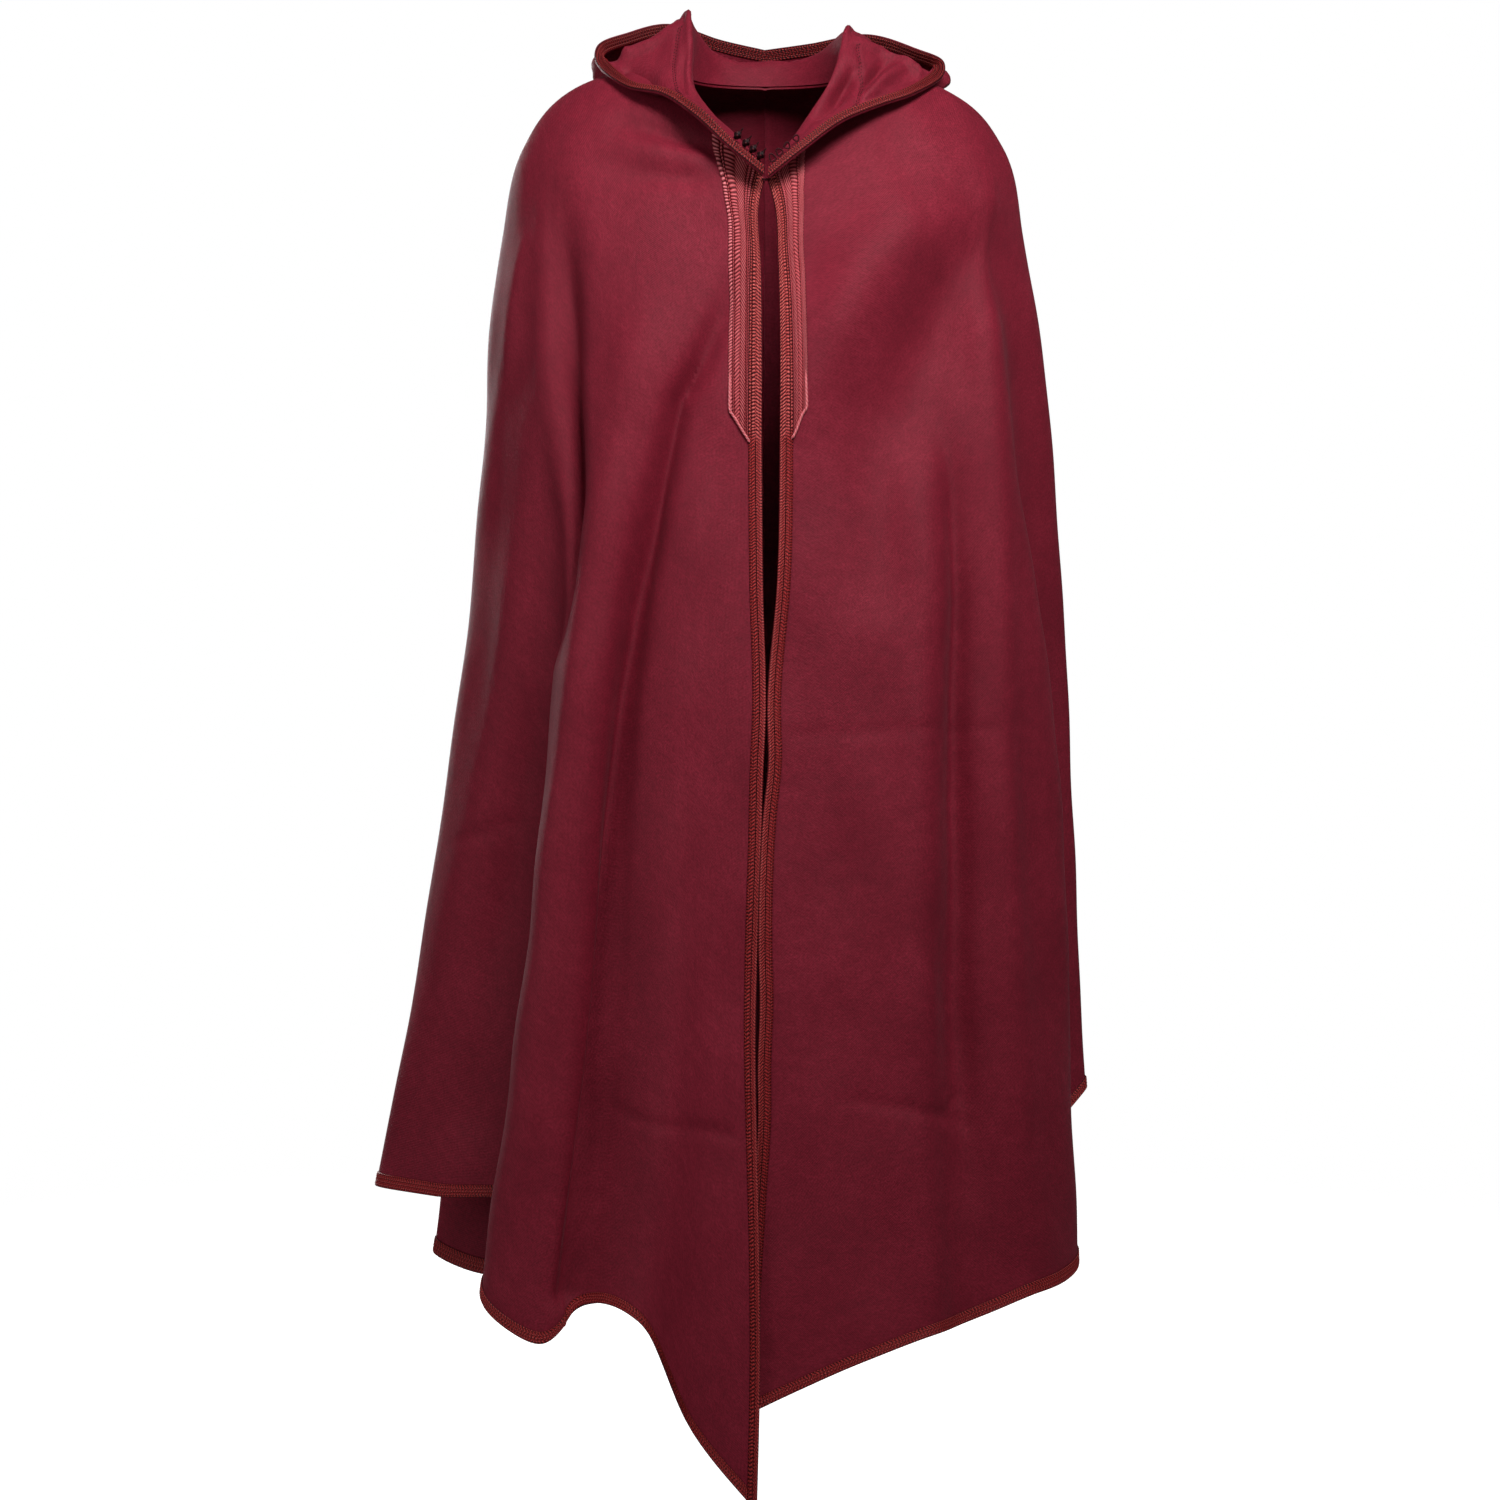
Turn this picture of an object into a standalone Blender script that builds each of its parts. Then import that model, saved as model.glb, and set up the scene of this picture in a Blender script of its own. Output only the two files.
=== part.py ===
"""Burnous: a long hooded cloak, worn open down the front with its hood lying back on the shoulders.

Metres, +Z up.  The front faces -Y and the viewer's left is -X.  The origin is the middle of the neck
opening at shoulder height, where the wearer's shoulders carry the cloak.

The cloth is one surface.  Its rows lie at equal distances from the neck, as in a cloak that is cut
round, and its columns run down the folds.  RINGS gives the size of the body's rows, and FOLDS gives
each fold's place on them.  The braids are made from the points of the cloth that they are sewn to.
"""
from collections import namedtuple

import bmesh
import bpy
import numpy as np

WOOL = (0.15, 0.012, 0.025)
BRAID_RED = (0.25, 0.012, 0.02)
PANEL_ROSE = (0.35, 0.05, 0.07)
KNOT_DARK = (0.03, 0.004, 0.006)

CLOTH = 0.002            # thickness of the cloth wall
SEAM_GAP = 0.0003        # gap between two pieces that are sewn to each other
BRAID = 0.0015           # thickness of the braids
EDGE_BRAID_WIDTH = 0.014     # braid down both front edges
HEM_BRAID_WIDTH = 0.012      # braid along the hem
HOOD_BRAID_WIDTH = 0.013     # braid round the hood's opening
NECK_GAP = 0.0008        # gap between the hood's foot and the body, where both are faceted
BUTTON_RADIUS = 0.0040   # knotted buttons
BUTTON_SIDES = 8
LOOP_RADIUS = 0.0031     # cord loops for them
LOOP_CORD_RADIUS = 0.0009
LOOP_STEPS = 10
LOOP_SIDES = 6
LINK_RADIUS = 0.0008     # thread link that closes the neck
LINK_LENGTH = 0.009
LINK_SIDES = 8

# The rows of the body.  share: distance down the cloth from neck to hem, as a share of the whole.
# z_front, z_side, z_back: height of the row there.  left, right, front, back: its reach from the axis.
Ring = namedtuple("Ring", "name share z_front z_side z_back left right front back")
RINGS = [
    Ring("neck",   0.000, -0.050, 0.068, 0.070, 0.080, 0.082, 0.118, 0.080),
    Ring("collar", 0.038, -0.090, 0.074, 0.062, 0.126, 0.128, 0.131, 0.104),
    Ring("slope",  0.085, -0.140, 0.069, 0.032, 0.168, 0.158, 0.144, 0.120),
    Ring("point",  0.125, -0.186, 0.040, -0.006, 0.220, 0.212, 0.155, 0.134),
    Ring("arm",    0.170, -0.238, -0.005, -0.060, 0.251, 0.246, 0.166, 0.146),
    Ring("chest",  0.245, -0.326, -0.095, -0.150, 0.273, 0.267, 0.182, 0.160),
    Ring("waist",  0.440, -0.560, -0.335, -0.390, 0.292, 0.298, 0.222, 0.196),
    Ring("hip",    0.635, -0.800, -0.575, -0.640, 0.322, 0.317, 0.256, 0.226),
    Ring("knee",   0.835, -1.040, -0.820, -0.890, 0.360, 0.328, 0.286, 0.256),
    Ring("hem",    1.000, -1.240, -1.060, -1.130, 0.408, 0.340, 0.308, 0.280),
]
NECK_DIP_POWER = 2.0     # how sharply the rows dip at the front at the neck
ROW_DIP_POWER = 1.7      # and lower down,
DIP_CHANGE_END = 0.2     # from this share on

# The folds, from the front edge round to the middle of the back, on each side.
# neck, chest, hem: degrees from the front at those rows.  reach: share of the row's radius at the hem.
# start: share of the length where the fold begins.  hem_z: height of the hem there.
FOLD_TURN_SHARES = (0.0, 0.22, 0.60, 1.0)    # shares of the neck, chest and hem turns (hem twice)
FOLD_GROWTH_POWER = 0.8  # how early a fold reaches its depth
HEM_CHANGE_POWER = 2.5   # how late the rows take up the hem's heights
Fold = namedtuple("Fold", "name neck chest hem reach start hem_z")
LEFT_FOLDS = [
    Fold("edge",         0,   0,   0,   1.00, 0.00, -1.345),
    Fold("panel",        60,  19,  10,  1.00, 0.50, -1.272),
    Fold("panel_side",   67,  27,  17,  1.03, 0.40, -1.163),
    Fold("valley",       74,  35,  27,  0.95, 0.20, -1.157),
    Fold("bulge",        80,  43,  31,  1.04, 0.10, -1.192),
    Fold("bulge_edge",   86,  53,  43,  1.00, 0.05, -1.155),
    Fold("tuck",         92,  65,  49,  0.74, 0.10, -1.085),
    Fold("side_lobe",    98,  78,  72,  0.88, 0.10, -1.086),
    Fold("side_edge",    105, 90,  88,  1.00, 0.00, -1.089),
    Fold("rear_tuck",    111, 100, 97,  0.62, 0.20, -1.095),
    Fold("rear_front",   116, 107, 103, 0.70, 0.20, -1.195),
    Fold("rear_lobe",    122, 114, 110, 0.94, 0.20, -1.182),
    Fold("back_tuck",    130, 126, 126, 0.80, 0.25, -1.170),
    Fold("back_fold",    141, 140, 140, 1.06, 0.20, -1.190),
    Fold("back_valley",  154, 153, 153, 0.85, 0.25, -1.190),
    Fold("middle_fold",  167, 167, 167, 1.05, 0.20, -1.200),
    Fold("middle",       180, 180, 180, 0.93, 0.30, -1.200),
]
RIGHT_FOLDS = [
    Fold("edge",         0,   0,   0,   1.00, 0.00, -1.256),
    Fold("panel",        60,  22,  14,  1.00, 0.50, -1.208),
    Fold("ridge",        69,  33,  27,  1.04, 0.30, -1.181),
    Fold("valley",       77,  42,  34,  0.98, 0.20, -1.180),
    Fold("bulge",        84,  50,  48,  1.03, 0.10, -1.160),
    Fold("fold_edge",    91,  59,  66,  1.025, 0.00, -1.146),
    Fold("tuck",         97,  70,  78,  0.77, 0.05, -1.090),
    Fold("side_edge",    105, 88,  94,  1.005, 0.00, -0.990),
    Fold("rear_valley",  114, 102, 104, 0.88, 0.20, -1.030),
    Fold("rear_fold",    123, 114, 113, 1.02, 0.20, -1.070),
    Fold("back_tuck",    133, 126, 125, 0.82, 0.25, -1.120),
    Fold("back_fold",    144, 139, 139, 1.05, 0.20, -1.150),
    Fold("back_valley",  156, 152, 152, 0.84, 0.25, -1.170),
    Fold("middle_fold",  168, 167, 167, 1.04, 0.20, -1.190),
    Fold("middle",       180, 180, 180, 0.93, 0.30, -1.200),
]

# The two front edges.  height: z on the edge.  left, right: their x.  left_out, right_out: how far each
# stands forward of the row, so that the left panel laps over the right one near the hem.
Edge = namedtuple("Edge", "height left right left_out right_out")
EDGES = [
    Edge(-0.050, -0.0012, 0.0012, 0.000, 0.000),
    Edge(-0.080, -0.0070, 0.0085, 0.000, 0.000),
    Edge(-0.135, -0.0050, 0.0115, 0.000, 0.000),
    Edge(-0.320, -0.0040, 0.0130, 0.000, 0.000),
    Edge(-0.450, -0.0030, 0.0105, 0.000, 0.000),
    Edge(-0.580, -0.0010, 0.0015, 0.000, 0.000),
    Edge(-0.640, -0.0030, 0.0000, 0.000, 0.000),
    Edge(-0.800, -0.0100, -0.0075, 0.000, 0.000),
    Edge(-0.900, -0.0105, -0.0065, 0.002, -0.002),
    Edge(-0.970, -0.0085, -0.0055, 0.005, -0.006),
    Edge(-1.040, -0.0065, -0.0130, 0.007, -0.008),
    Edge(-1.150, -0.0065, -0.0190, 0.007, -0.009),
    Edge(-1.326, -0.0130, -0.0220, 0.007, -0.009),
]

# Width of the braid panels beside the opening, from the front edges, down from the neck.
Panel = namedtuple("Panel", "share left right")
PANEL = [
    Panel(0.000, 0.0980, 0.0720),
    Panel(0.018, 0.0820, 0.0540),
    Panel(0.040, 0.0560, 0.0430),
    Panel(0.065, 0.0460, 0.0400),
    Panel(0.095, 0.0420, 0.0350),
    Panel(0.130, 0.0365, 0.0310),
    Panel(0.216, 0.0345, 0.0285),
    Panel(0.235, 0.0155, 0.0155),
]
BRAID_START = 0.002      # share of the length where the braids begin, clear of the hood's foot
GRID_LINE = 0.032        # width that the panel's grid line keeps below the braid panel
GRID_LINE_REACH = 0.06   # share of the length in which it comes to that width

# The hood, as sections from the front corner round to the middle of the back.
# turn: degrees from the front.  stand: height of the roll above the neck seam.  lean: how far the roll
# leans out.  pouch_x, y, z: lowest point between the roll and the opening's edge.  x, y, z: the edge.
Slice = namedtuple("Slice", "turn stand lean pouch_x pouch_y pouch_z x y z")
LEFT_HOOD = [
    Slice(2,   0.008, 0.004, 0.003, 0.132, -0.041, 0.003, 0.140, -0.050),
    Slice(25,  0.008, 0.004, 0.037, 0.124, -0.012, 0.041, 0.132, -0.018),
    Slice(45,  0.010, 0.003, 0.067, 0.106, 0.021,  0.074, 0.115, 0.014),
    Slice(60,  0.014, 0.003, 0.096, 0.080, 0.044,  0.105, 0.092, 0.037),
    Slice(75,  0.042, 0.000, 0.132, 0.046, 0.060,  0.142, 0.062, 0.049),
    Slice(90,  0.065, -0.002, 0.154, 0.004, 0.084, 0.173, 0.012, 0.078),
    Slice(105, 0.067, 0.002, 0.158, -0.036, 0.078, 0.176, -0.032, 0.106),
    Slice(125, 0.056, 0.010, 0.152, -0.112, 0.030, 0.147, -0.076, 0.131),
    Slice(145, 0.036, 0.014, 0.125, -0.168, -0.070, 0.100, -0.112, 0.148),
    Slice(163, 0.028, 0.014, 0.066, -0.184, -0.200, 0.048, -0.130, 0.130),
    Slice(180, 0.030, 0.014, 0.000, -0.196, -0.300, 0.000, -0.136, 0.120),
]
RIGHT_HOOD = [
    Slice(2,   0.008, 0.004, 0.003, 0.132, -0.043, 0.003, 0.140, -0.052),
    Slice(25,  0.010, 0.004, 0.036, 0.123, -0.014, 0.040, 0.133, -0.022),
    Slice(45,  0.020, 0.003, 0.072, 0.102, 0.017,  0.079, 0.113, 0.008),
    Slice(60,  0.032, 0.002, 0.106, 0.080, 0.035,  0.114, 0.092, 0.025),
    Slice(75,  0.046, 0.002, 0.138, 0.050, 0.053,  0.150, 0.064, 0.041),
    Slice(90,  0.052, 0.003, 0.163, 0.006, 0.076,  0.181, 0.014, 0.065),
    Slice(105, 0.052, 0.006, 0.168, -0.034, 0.079, 0.187, -0.028, 0.089),
    Slice(125, 0.048, 0.012, 0.158, -0.112, 0.024, 0.162, -0.078, 0.111),
    Slice(145, 0.034, 0.014, 0.127, -0.168, -0.072, 0.108, -0.114, 0.133),
    Slice(163, 0.028, 0.014, 0.066, -0.184, -0.200, 0.050, -0.130, 0.126),
    Slice(180, 0.030, 0.014, 0.000, -0.196, -0.300, 0.000, -0.136, 0.120),
]
CLOTH_LENGTH = 1.24      # length of the cloth from neck to hem
MIDDLE_ROW = 0.175       # share of a row half way down the braid panel
LOWER_START = 0.29       # share of the first of the rows below the panel
LOWER_ROWS = 10
ROW_KNOT_POWER = 0.5     # how the knots of a row's curve follow the distances between its folds
HOOD_KNOT_POWER = 0.6    # and those of a hood section's curve
FINE_STEPS = 25          # steps in which lengths along a row are measured
SECTION_STEPS = 120      # and lengths along a hood section
NECK_STEPS = 241         # points along the neck edge
NECK_STEP = 0.004        # share of the length over which the cloth's direction is read at the neck
FRONT_STEPS = 3          # grid columns from one fold to the next, on the front and the sides
BACK_STEPS = 2           # and on the back
BACK_FOLDS = 6           # folds of the back on each side of its middle
HOOD_STEPS = 2           # grid columns from one section of the hood to the next
LINK_ROW = 1             # row of the body that the neck link lies on
FASTENING_TURNS = (7, 12, 17, 23)    # degrees from the front of the buttons and of the loops
FASTENING_ROW = -3       # row of the hood that carries them, just inside its edge braid
POUCH_DEPTH = 0.40       # depth of pouch at which the hood has its deepest shape
HOOD_PUFF = 0.030        # how far the hood's outer layer stands off there
POUCH_ACROSS = (0.55, 0.62)    # how far out the inner layer goes half way down, shallow and deep
POUCH_DOWN = (0.66, 0.22)      # and how far down
BRAID_SHARE_MOST = 0.6   # most of a section that the hood's braid takes, at its front corner
# The knotted buttons' profile and the neck link's, as shares of their radius or length.
Turned = namedtuple("Turned", "place width")
BUTTON_PROFILE = [
    Turned(-1.0, 0.0),
    Turned(-0.7, 0.7),
    Turned(0.0, 1.0),
    Turned(0.7, 0.75),
    Turned(1.3, 0.3),
    Turned(1.5, 0.0),
]
LINK_PROFILE = [
    Turned(-0.5, 0.6),
    Turned(-0.4, 1.0),
    Turned(0.4, 1.0),
    Turned(0.5, 0.6),
]


def smooth(knots, values, places):
    """Read, at the places, a smooth curve through the values at the knots (cubic, with mean slopes)."""
    knots = np.asarray(knots, dtype=float)
    values = np.asarray(values, dtype=float)
    places = np.atleast_1d(np.asarray(places, dtype=float))
    slopes = np.gradient(values, knots, axis=0)
    span = np.clip(np.searchsorted(knots, places, side="right") - 1, 0, len(knots) - 2)
    width = knots[span + 1] - knots[span]
    part = (places - knots[span]) / width
    shape = (-1,) + (1,) * (values.ndim - 1)
    width = width.reshape(shape)
    part = part.reshape(shape)
    start = (1 + 2 * part) * (1 - part) ** 2 * values[span] + part * (1 - part) ** 2 * width * slopes[span]
    end = part ** 2 * (3 - 2 * part) * values[span + 1] + part ** 2 * (part - 1) * width * slopes[span + 1]
    return start + end


def knots_of(points, power):
    """Return knots for a smooth curve through the points, spaced by a power of their distances."""
    steps = np.linalg.norm(np.diff(points, axis=0), axis=1) ** power
    return np.concatenate([[0.0], np.cumsum(steps)])


def ease(value):
    """Go from 0 to 1 with level ends."""
    value = np.clip(value, 0.0, 1.0)
    return value * value * (3 - 2 * value)


def ring_sizes(share):
    """Return the sizes of the body's row at this share of its length, as a Ring."""
    shares = [ring.share for ring in RINGS]
    table = [ring[2:] for ring in RINGS]
    return Ring("row", share, *smooth(shares, table, share)[0])


def ring_height(ring, turn):
    """Return the height of a row at a turn in degrees from the front."""
    power = NECK_DIP_POWER + (ROW_DIP_POWER - NECK_DIP_POWER) * ease(ring.share / DIP_CHANGE_END)
    forward = np.cos(np.radians(turn))
    low = ring.z_front if forward > 0 else ring.z_back
    return ring.z_side + (low - ring.z_side) * abs(forward) ** power


def fold_point(fold, side, share):
    """Return the point of a fold on the row at this share; side is -1 on the left and 1 on the right."""
    ring = ring_sizes(share)
    turn = float(smooth(FOLD_TURN_SHARES, [fold.neck, fold.chest, fold.hem, fold.hem], share)[0])
    half_width = ring.left if side < 0 else ring.right
    out = 0.0
    if fold.name == "edge":
        heights = [-edge.height for edge in EDGES]
        columns = [(edge.left, edge.right, edge.left_out, edge.right_out) for edge in EDGES]
        left, right, left_out, right_out = smooth(heights, columns, -ring.z_front)[0]
        reach_x = left if side < 0 else right
        out = left_out if side < 0 else right_out
        turn = np.degrees(np.arcsin(reach_x * side / half_width))
    grown = ease((share - fold.start) / (1 - fold.start)) ** FOLD_GROWTH_POWER
    radius = 1 + (fold.reach - 1) * grown
    angle = np.radians(turn)
    depth = ring.front if np.cos(angle) > 0 else ring.back
    hem_change = fold.hem_z - ring_height(ring_sizes(1.0), turn)
    height = ring_height(ring, turn) + hem_change * share ** HEM_CHANGE_POWER
    return np.array([side * half_width * radius * np.sin(angle),
                     -depth * radius * np.cos(angle) - out, height])


def row_curve(share):
    """Return the knots and the points of the row's folds, from the left edge round to the right."""
    left = [fold_point(fold, -1, share) for fold in LEFT_FOLDS]
    right = [fold_point(fold, 1, share) for fold in RIGHT_FOLDS[:-1]]
    points = np.array(left + right[::-1])
    return knots_of(points, ROW_KNOT_POWER), points


def panel_width(share, side):
    """Return the width of the grid line that bounds the braid panel, at this share of the length."""
    widths = [row.left if side < 0 else row.right for row in PANEL]
    if share > PANEL[-1].share:
        return widths[-1] + (GRID_LINE - widths[-1]) * ease((share - PANEL[-1].share) / GRID_LINE_REACH)
    return np.interp(share, [row.share for row in PANEL], widths)


def fold_steps(number):
    """Return how many grid columns lie between this fold and the next, counted from the left edge."""
    from_middle = number - (len(LEFT_FOLDS) - 1)
    return BACK_STEPS if -BACK_FOLDS <= from_middle < BACK_FOLDS else FRONT_STEPS


def lengths_along(points):
    """Return the distance of each point from the first, along the line through them."""
    steps = np.linalg.norm(np.diff(points, axis=0), axis=1)
    return np.concatenate([[0.0], np.cumsum(steps)])


def braid_places(knots, points, start, end, share, side):
    """Return the places, from the edge at start, of the edge, its braid's line and the panel's line."""
    fine = np.linspace(start, end, FINE_STEPS)
    widths = [0.0, EDGE_BRAID_WIDTH, panel_width(share, side)]
    return np.interp(widths, lengths_along(smooth(knots, points, fine)), fine)


def cloth_row(share):
    """Return the points of one row: both front edges, their braid lines, and the folds between."""
    knots, points = row_curve(share)
    left_places = braid_places(knots, points, knots[0], knots[1], share, -1)
    right_places = braid_places(knots, points, knots[-1], knots[-2], share, 1)[::-1]
    middle = [np.linspace(knots[i], knots[i + 1], fold_steps(i), endpoint=False)
              for i in range(1, len(knots) - 2)]
    places = np.concatenate([left_places] + middle + [[knots[-2]], right_places])
    return smooth(knots, points, places)


def row_shares():
    """Return the shares of the rows, with one at each end of the braids."""
    hem_line = 1 - HEM_BRAID_WIDTH / CLOTH_LENGTH
    upper = [0.0, BRAID_START] + [row.share for row in PANEL[1:-2]] + [MIDDLE_ROW]
    ends = [row.share for row in PANEL[-2:]]
    lower = list(np.linspace(LOWER_START, hem_line, LOWER_ROWS))
    return upper + ends + lower + [1.0]


def normals_of(grid):
    """Return the unit normals of a grid of points, from the directions of its rows and columns."""
    down = np.gradient(grid, axis=0)
    along = np.gradient(grid, axis=1)
    normals = np.cross(along, down)
    return normals / np.linalg.norm(normals, axis=2, keepdims=True)


def layer(grid, normals, low, high):
    """Return the inner and outer grids of a layer that lies between two distances from the cloth."""
    return grid + normals * low, grid + normals * high


def add_object(name, vertices, faces, material):
    """Make a mesh object with its own material."""
    mesh = bpy.data.meshes.new(name)
    mesh.from_pydata([tuple(vertex) for vertex in vertices], [], faces)
    mesh.materials.append(material)
    mesh.update()
    thing = bpy.data.objects.new(name, mesh)
    bpy.context.scene.collection.objects.link(thing)
    return thing


def slab(name, inner, outer, material):
    """Close the space between two grids of the same size; the outer one faces out."""
    rows, columns = inner.shape[:2]
    vertices = np.concatenate([outer.reshape(-1, 3), inner.reshape(-1, 3)])
    count = rows * columns
    faces = []
    for row in range(rows - 1):
        for column in range(columns - 1):
            a = row * columns + column
            b = a + 1
            c = a + columns
            d = c + 1
            faces += [(a, b, d), (a, d, c)]
            faces += [(count + b, count + a, count + d), (count + d, count + a, count + c)]
    rim = list(range(columns))
    rim += [row * columns + columns - 1 for row in range(1, rows)]
    rim += [(rows - 1) * columns + column for column in range(columns - 2, -1, -1)]
    rim += [row * columns for row in range(rows - 2, 0, -1)]
    for here, there in zip(rim, rim[1:] + rim[:1]):
        faces += [(there, here, count + here), (there, count + here, count + there)]
    return add_object(name, vertices, faces, material)


def material(name, colour, roughness):
    """Make a plain material of this linear colour."""
    new = bpy.data.materials.new(name)
    new.use_nodes = True
    shader = new.node_tree.nodes["Principled BSDF"]
    shader.inputs["Base Color"].default_value = (*colour, 1.0)
    shader.inputs["Roughness"].default_value = roughness
    shader.inputs["Metallic"].default_value = 0.0
    new.diffuse_color = (*colour, 1.0)
    return new


def neck_line(side, turns):
    """Return the points of the body's neck edge at these turns, and the body's normals there."""
    rows = []
    for share in (0.0, NECK_STEP):
        knots, points = row_curve(share)
        rows.append(smooth(knots, points, np.linspace(knots[0], knots[-1], NECK_STEPS)))
    normals = np.cross(np.gradient(rows[0], axis=0), rows[1] - rows[0])
    normals /= np.linalg.norm(normals, axis=1, keepdims=True)
    x, y = rows[0][:, 0], rows[0][:, 1]
    ring = RINGS[0]
    width = ring.left if side < 0 else ring.right
    turned = np.degrees(np.arctan2(side * x / width, -y / np.where(y < 0, ring.front, ring.back)))
    turned = np.where(turned < -90, turned + 360, turned)
    order = np.argsort(turned)
    table = np.hstack([rows[0], normals])[order]
    found = np.stack([np.interp(turns, turned[order], column) for column in table.T], axis=1)
    return found[:, :3], found[:, 3:]


def hood_section(side, seam, normal, row):
    """Return the points down one section of the hood, from the neck seam to the opening's edge.

    It rises from the seam to the roll, dips behind it into the pouch, and comes up to the edge.
    """
    outward = np.array([seam[0], seam[1], 0.0]) / np.hypot(seam[0], seam[1])
    foot = seam + normal * (CLOTH / 2 + NECK_GAP)
    roll = foot + outward * row.lean + np.array([0.0, 0.0, row.stand])
    pouch = np.array([side * row.pouch_x, -row.pouch_y, row.pouch_z])
    edge = np.array([side * row.x, -row.y, row.z])
    depth = np.clip((edge[2] - pouch[2]) / POUCH_DEPTH, 0.0, 1.0)
    across = POUCH_ACROSS[0] + (POUCH_ACROSS[1] - POUCH_ACROSS[0]) * depth
    down = POUCH_DOWN[0] + (POUCH_DOWN[1] - POUCH_DOWN[0]) * depth
    inside = roll + (pouch - roll) * np.array([across, across, down])
    outside = (pouch + edge) / 2 + outward * HOOD_PUFF * depth
    points = np.array([foot, roll, inside, pouch, outside, edge])
    knots = knots_of(points, HOOD_KNOT_POWER)
    fine = np.linspace(0.0, knots[-1], SECTION_STEPS)
    lengths = lengths_along(smooth(knots, points, fine))
    braid = min(HOOD_BRAID_WIDTH, lengths[-1] * BRAID_SHARE_MOST)
    braid_place = np.interp(lengths[-1] - braid, lengths, fine)
    halves = (knots[1:-1] + knots[2:]) / 2
    rows = np.sort(np.concatenate([knots, halves])) * braid_place / knots[-1]
    return smooth(knots, points, np.append(rows, knots[-1]))


def hood_half(side, slices):
    """Return one half of the hood as a grid, from the neck seam to the edge, front to middle back."""
    steps = [np.linspace(a.turn, b.turn, HOOD_STEPS, endpoint=False) for a, b in zip(slices, slices[1:])]
    turns = np.concatenate(steps + [[slices[-1].turn]])
    table = smooth([row.turn for row in slices], [row[1:] for row in slices], turns)
    seams, normals = neck_line(side, turns)
    grid = np.stack([hood_section(side, seam, normal, Slice(turn, *row))
                     for turn, seam, normal, row in zip(turns, seams, normals, table)], axis=1)
    normals = normals_of(grid) * side
    normals[:, -1, 0] = 0.0
    normals[:, -1] /= np.linalg.norm(normals[:, -1], axis=1, keepdims=True)
    grid[:, -1, 0] += side * SEAM_GAP / 2
    return turns, grid, normals


def clear_scene():
    """Remove whatever is in the scene."""
    for thing in list(bpy.data.objects):
        bpy.data.objects.remove(thing, do_unlink=True)


def build_body():
    """Make the two halves of the body, and the braids that lie on them."""
    wool = material("wine_wool", WOOL, 0.9)
    braid = material("red_braid", BRAID_RED, 0.6)
    panel_braid = material("rose_braid", PANEL_ROSE, 0.6)
    shares = row_shares()
    grid = np.array([cloth_row(share) for share in shares])
    normals = normals_of(grid)
    along = np.gradient(grid, axis=1)
    along /= np.linalg.norm(along, axis=2, keepdims=True)
    panel_columns = 3
    middle = panel_columns + sum(fold_steps(number) for number in range(1, len(LEFT_FOLDS) - 1))
    for name, columns, seam, sign in (("body_left", slice(0, middle + 1), -1, -1),
                                      ("body_right", slice(middle, None), 0, 1)):
        half = grid[:, columns].copy()
        half[:, seam] += sign * along[:, middle] * SEAM_GAP / 2
        slab(name, *layer(half, normals[:, columns], -CLOTH / 2, CLOTH / 2), wool)
    low = CLOTH / 2 + SEAM_GAP
    high = low + BRAID
    inner, outer = layer(grid, normals, low, high)
    slab("front_braid_left", inner[1:, :2], outer[1:, :2], braid)
    slab("front_braid_right", inner[1:, -2:], outer[1:, -2:], braid)
    panel_rows = slice(1, shares.index(PANEL[-1].share) + 1)
    for name, columns, seam, sign in (("panel_braid_left", slice(1, 3), 0, 1),
                                      ("panel_braid_right", slice(-3, -1), -1, -1)):
        strips = []
        for surface in (inner, outer):
            strip = surface[panel_rows, columns].copy()
            strip[:, seam] += sign * along[panel_rows, columns][:, seam] * SEAM_GAP
            strips.append(strip)
        slab(name, *strips, panel_braid)
    strips = []
    for surface in (inner, outer):
        strip = surface[-2:, 1:-1].copy()
        strip[:, 0] += along[-2:, 1] * SEAM_GAP
        strip[:, -1] -= along[-2:, -2] * SEAM_GAP
        strips.append(strip)
    slab("hem_braid", *strips, braid)
    add_link(outer)


def build_hood():
    """Make the two halves of the hood, and the braid round its opening."""
    wool = material("wine_wool_hood", WOOL, 0.9)
    braid = material("red_braid_hood", BRAID_RED, 0.6)
    for name, side, slices in (("hood_left", -1, LEFT_HOOD), ("hood_right", 1, RIGHT_HOOD)):
        turns, grid, normals = hood_half(side, slices)
        inner, outer = layer(grid, normals, -CLOTH / 2, CLOTH / 2)
        if side < 0:
            inner, outer = inner[:, ::-1], outer[:, ::-1]
        slab(name, inner, outer, wool)
        low = -(CLOTH / 2 + SEAM_GAP)
        inner, outer = layer(grid[-2:], normals[-2:], low - BRAID, low)
        if side < 0:
            inner, outer = inner[:, ::-1], outer[:, ::-1]
        slab(name.replace("hood", "hood_braid"), inner, outer, braid)
        add_fastenings(side, turns, grid[FASTENING_ROW], -normals[FASTENING_ROW])


def ring_points(centre, radius, count, across, up):
    """Return points round a circle in the plane of two directions."""
    turns = np.linspace(0.0, 2 * np.pi, count, endpoint=False)
    return centre + radius * (np.outer(np.cos(turns), across) + np.outer(np.sin(turns), up))


def read_line(turns, line, turn):
    """Return the point of a line of points at this turn."""
    return np.array([np.interp(turn, turns, column) for column in line.T])


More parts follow.
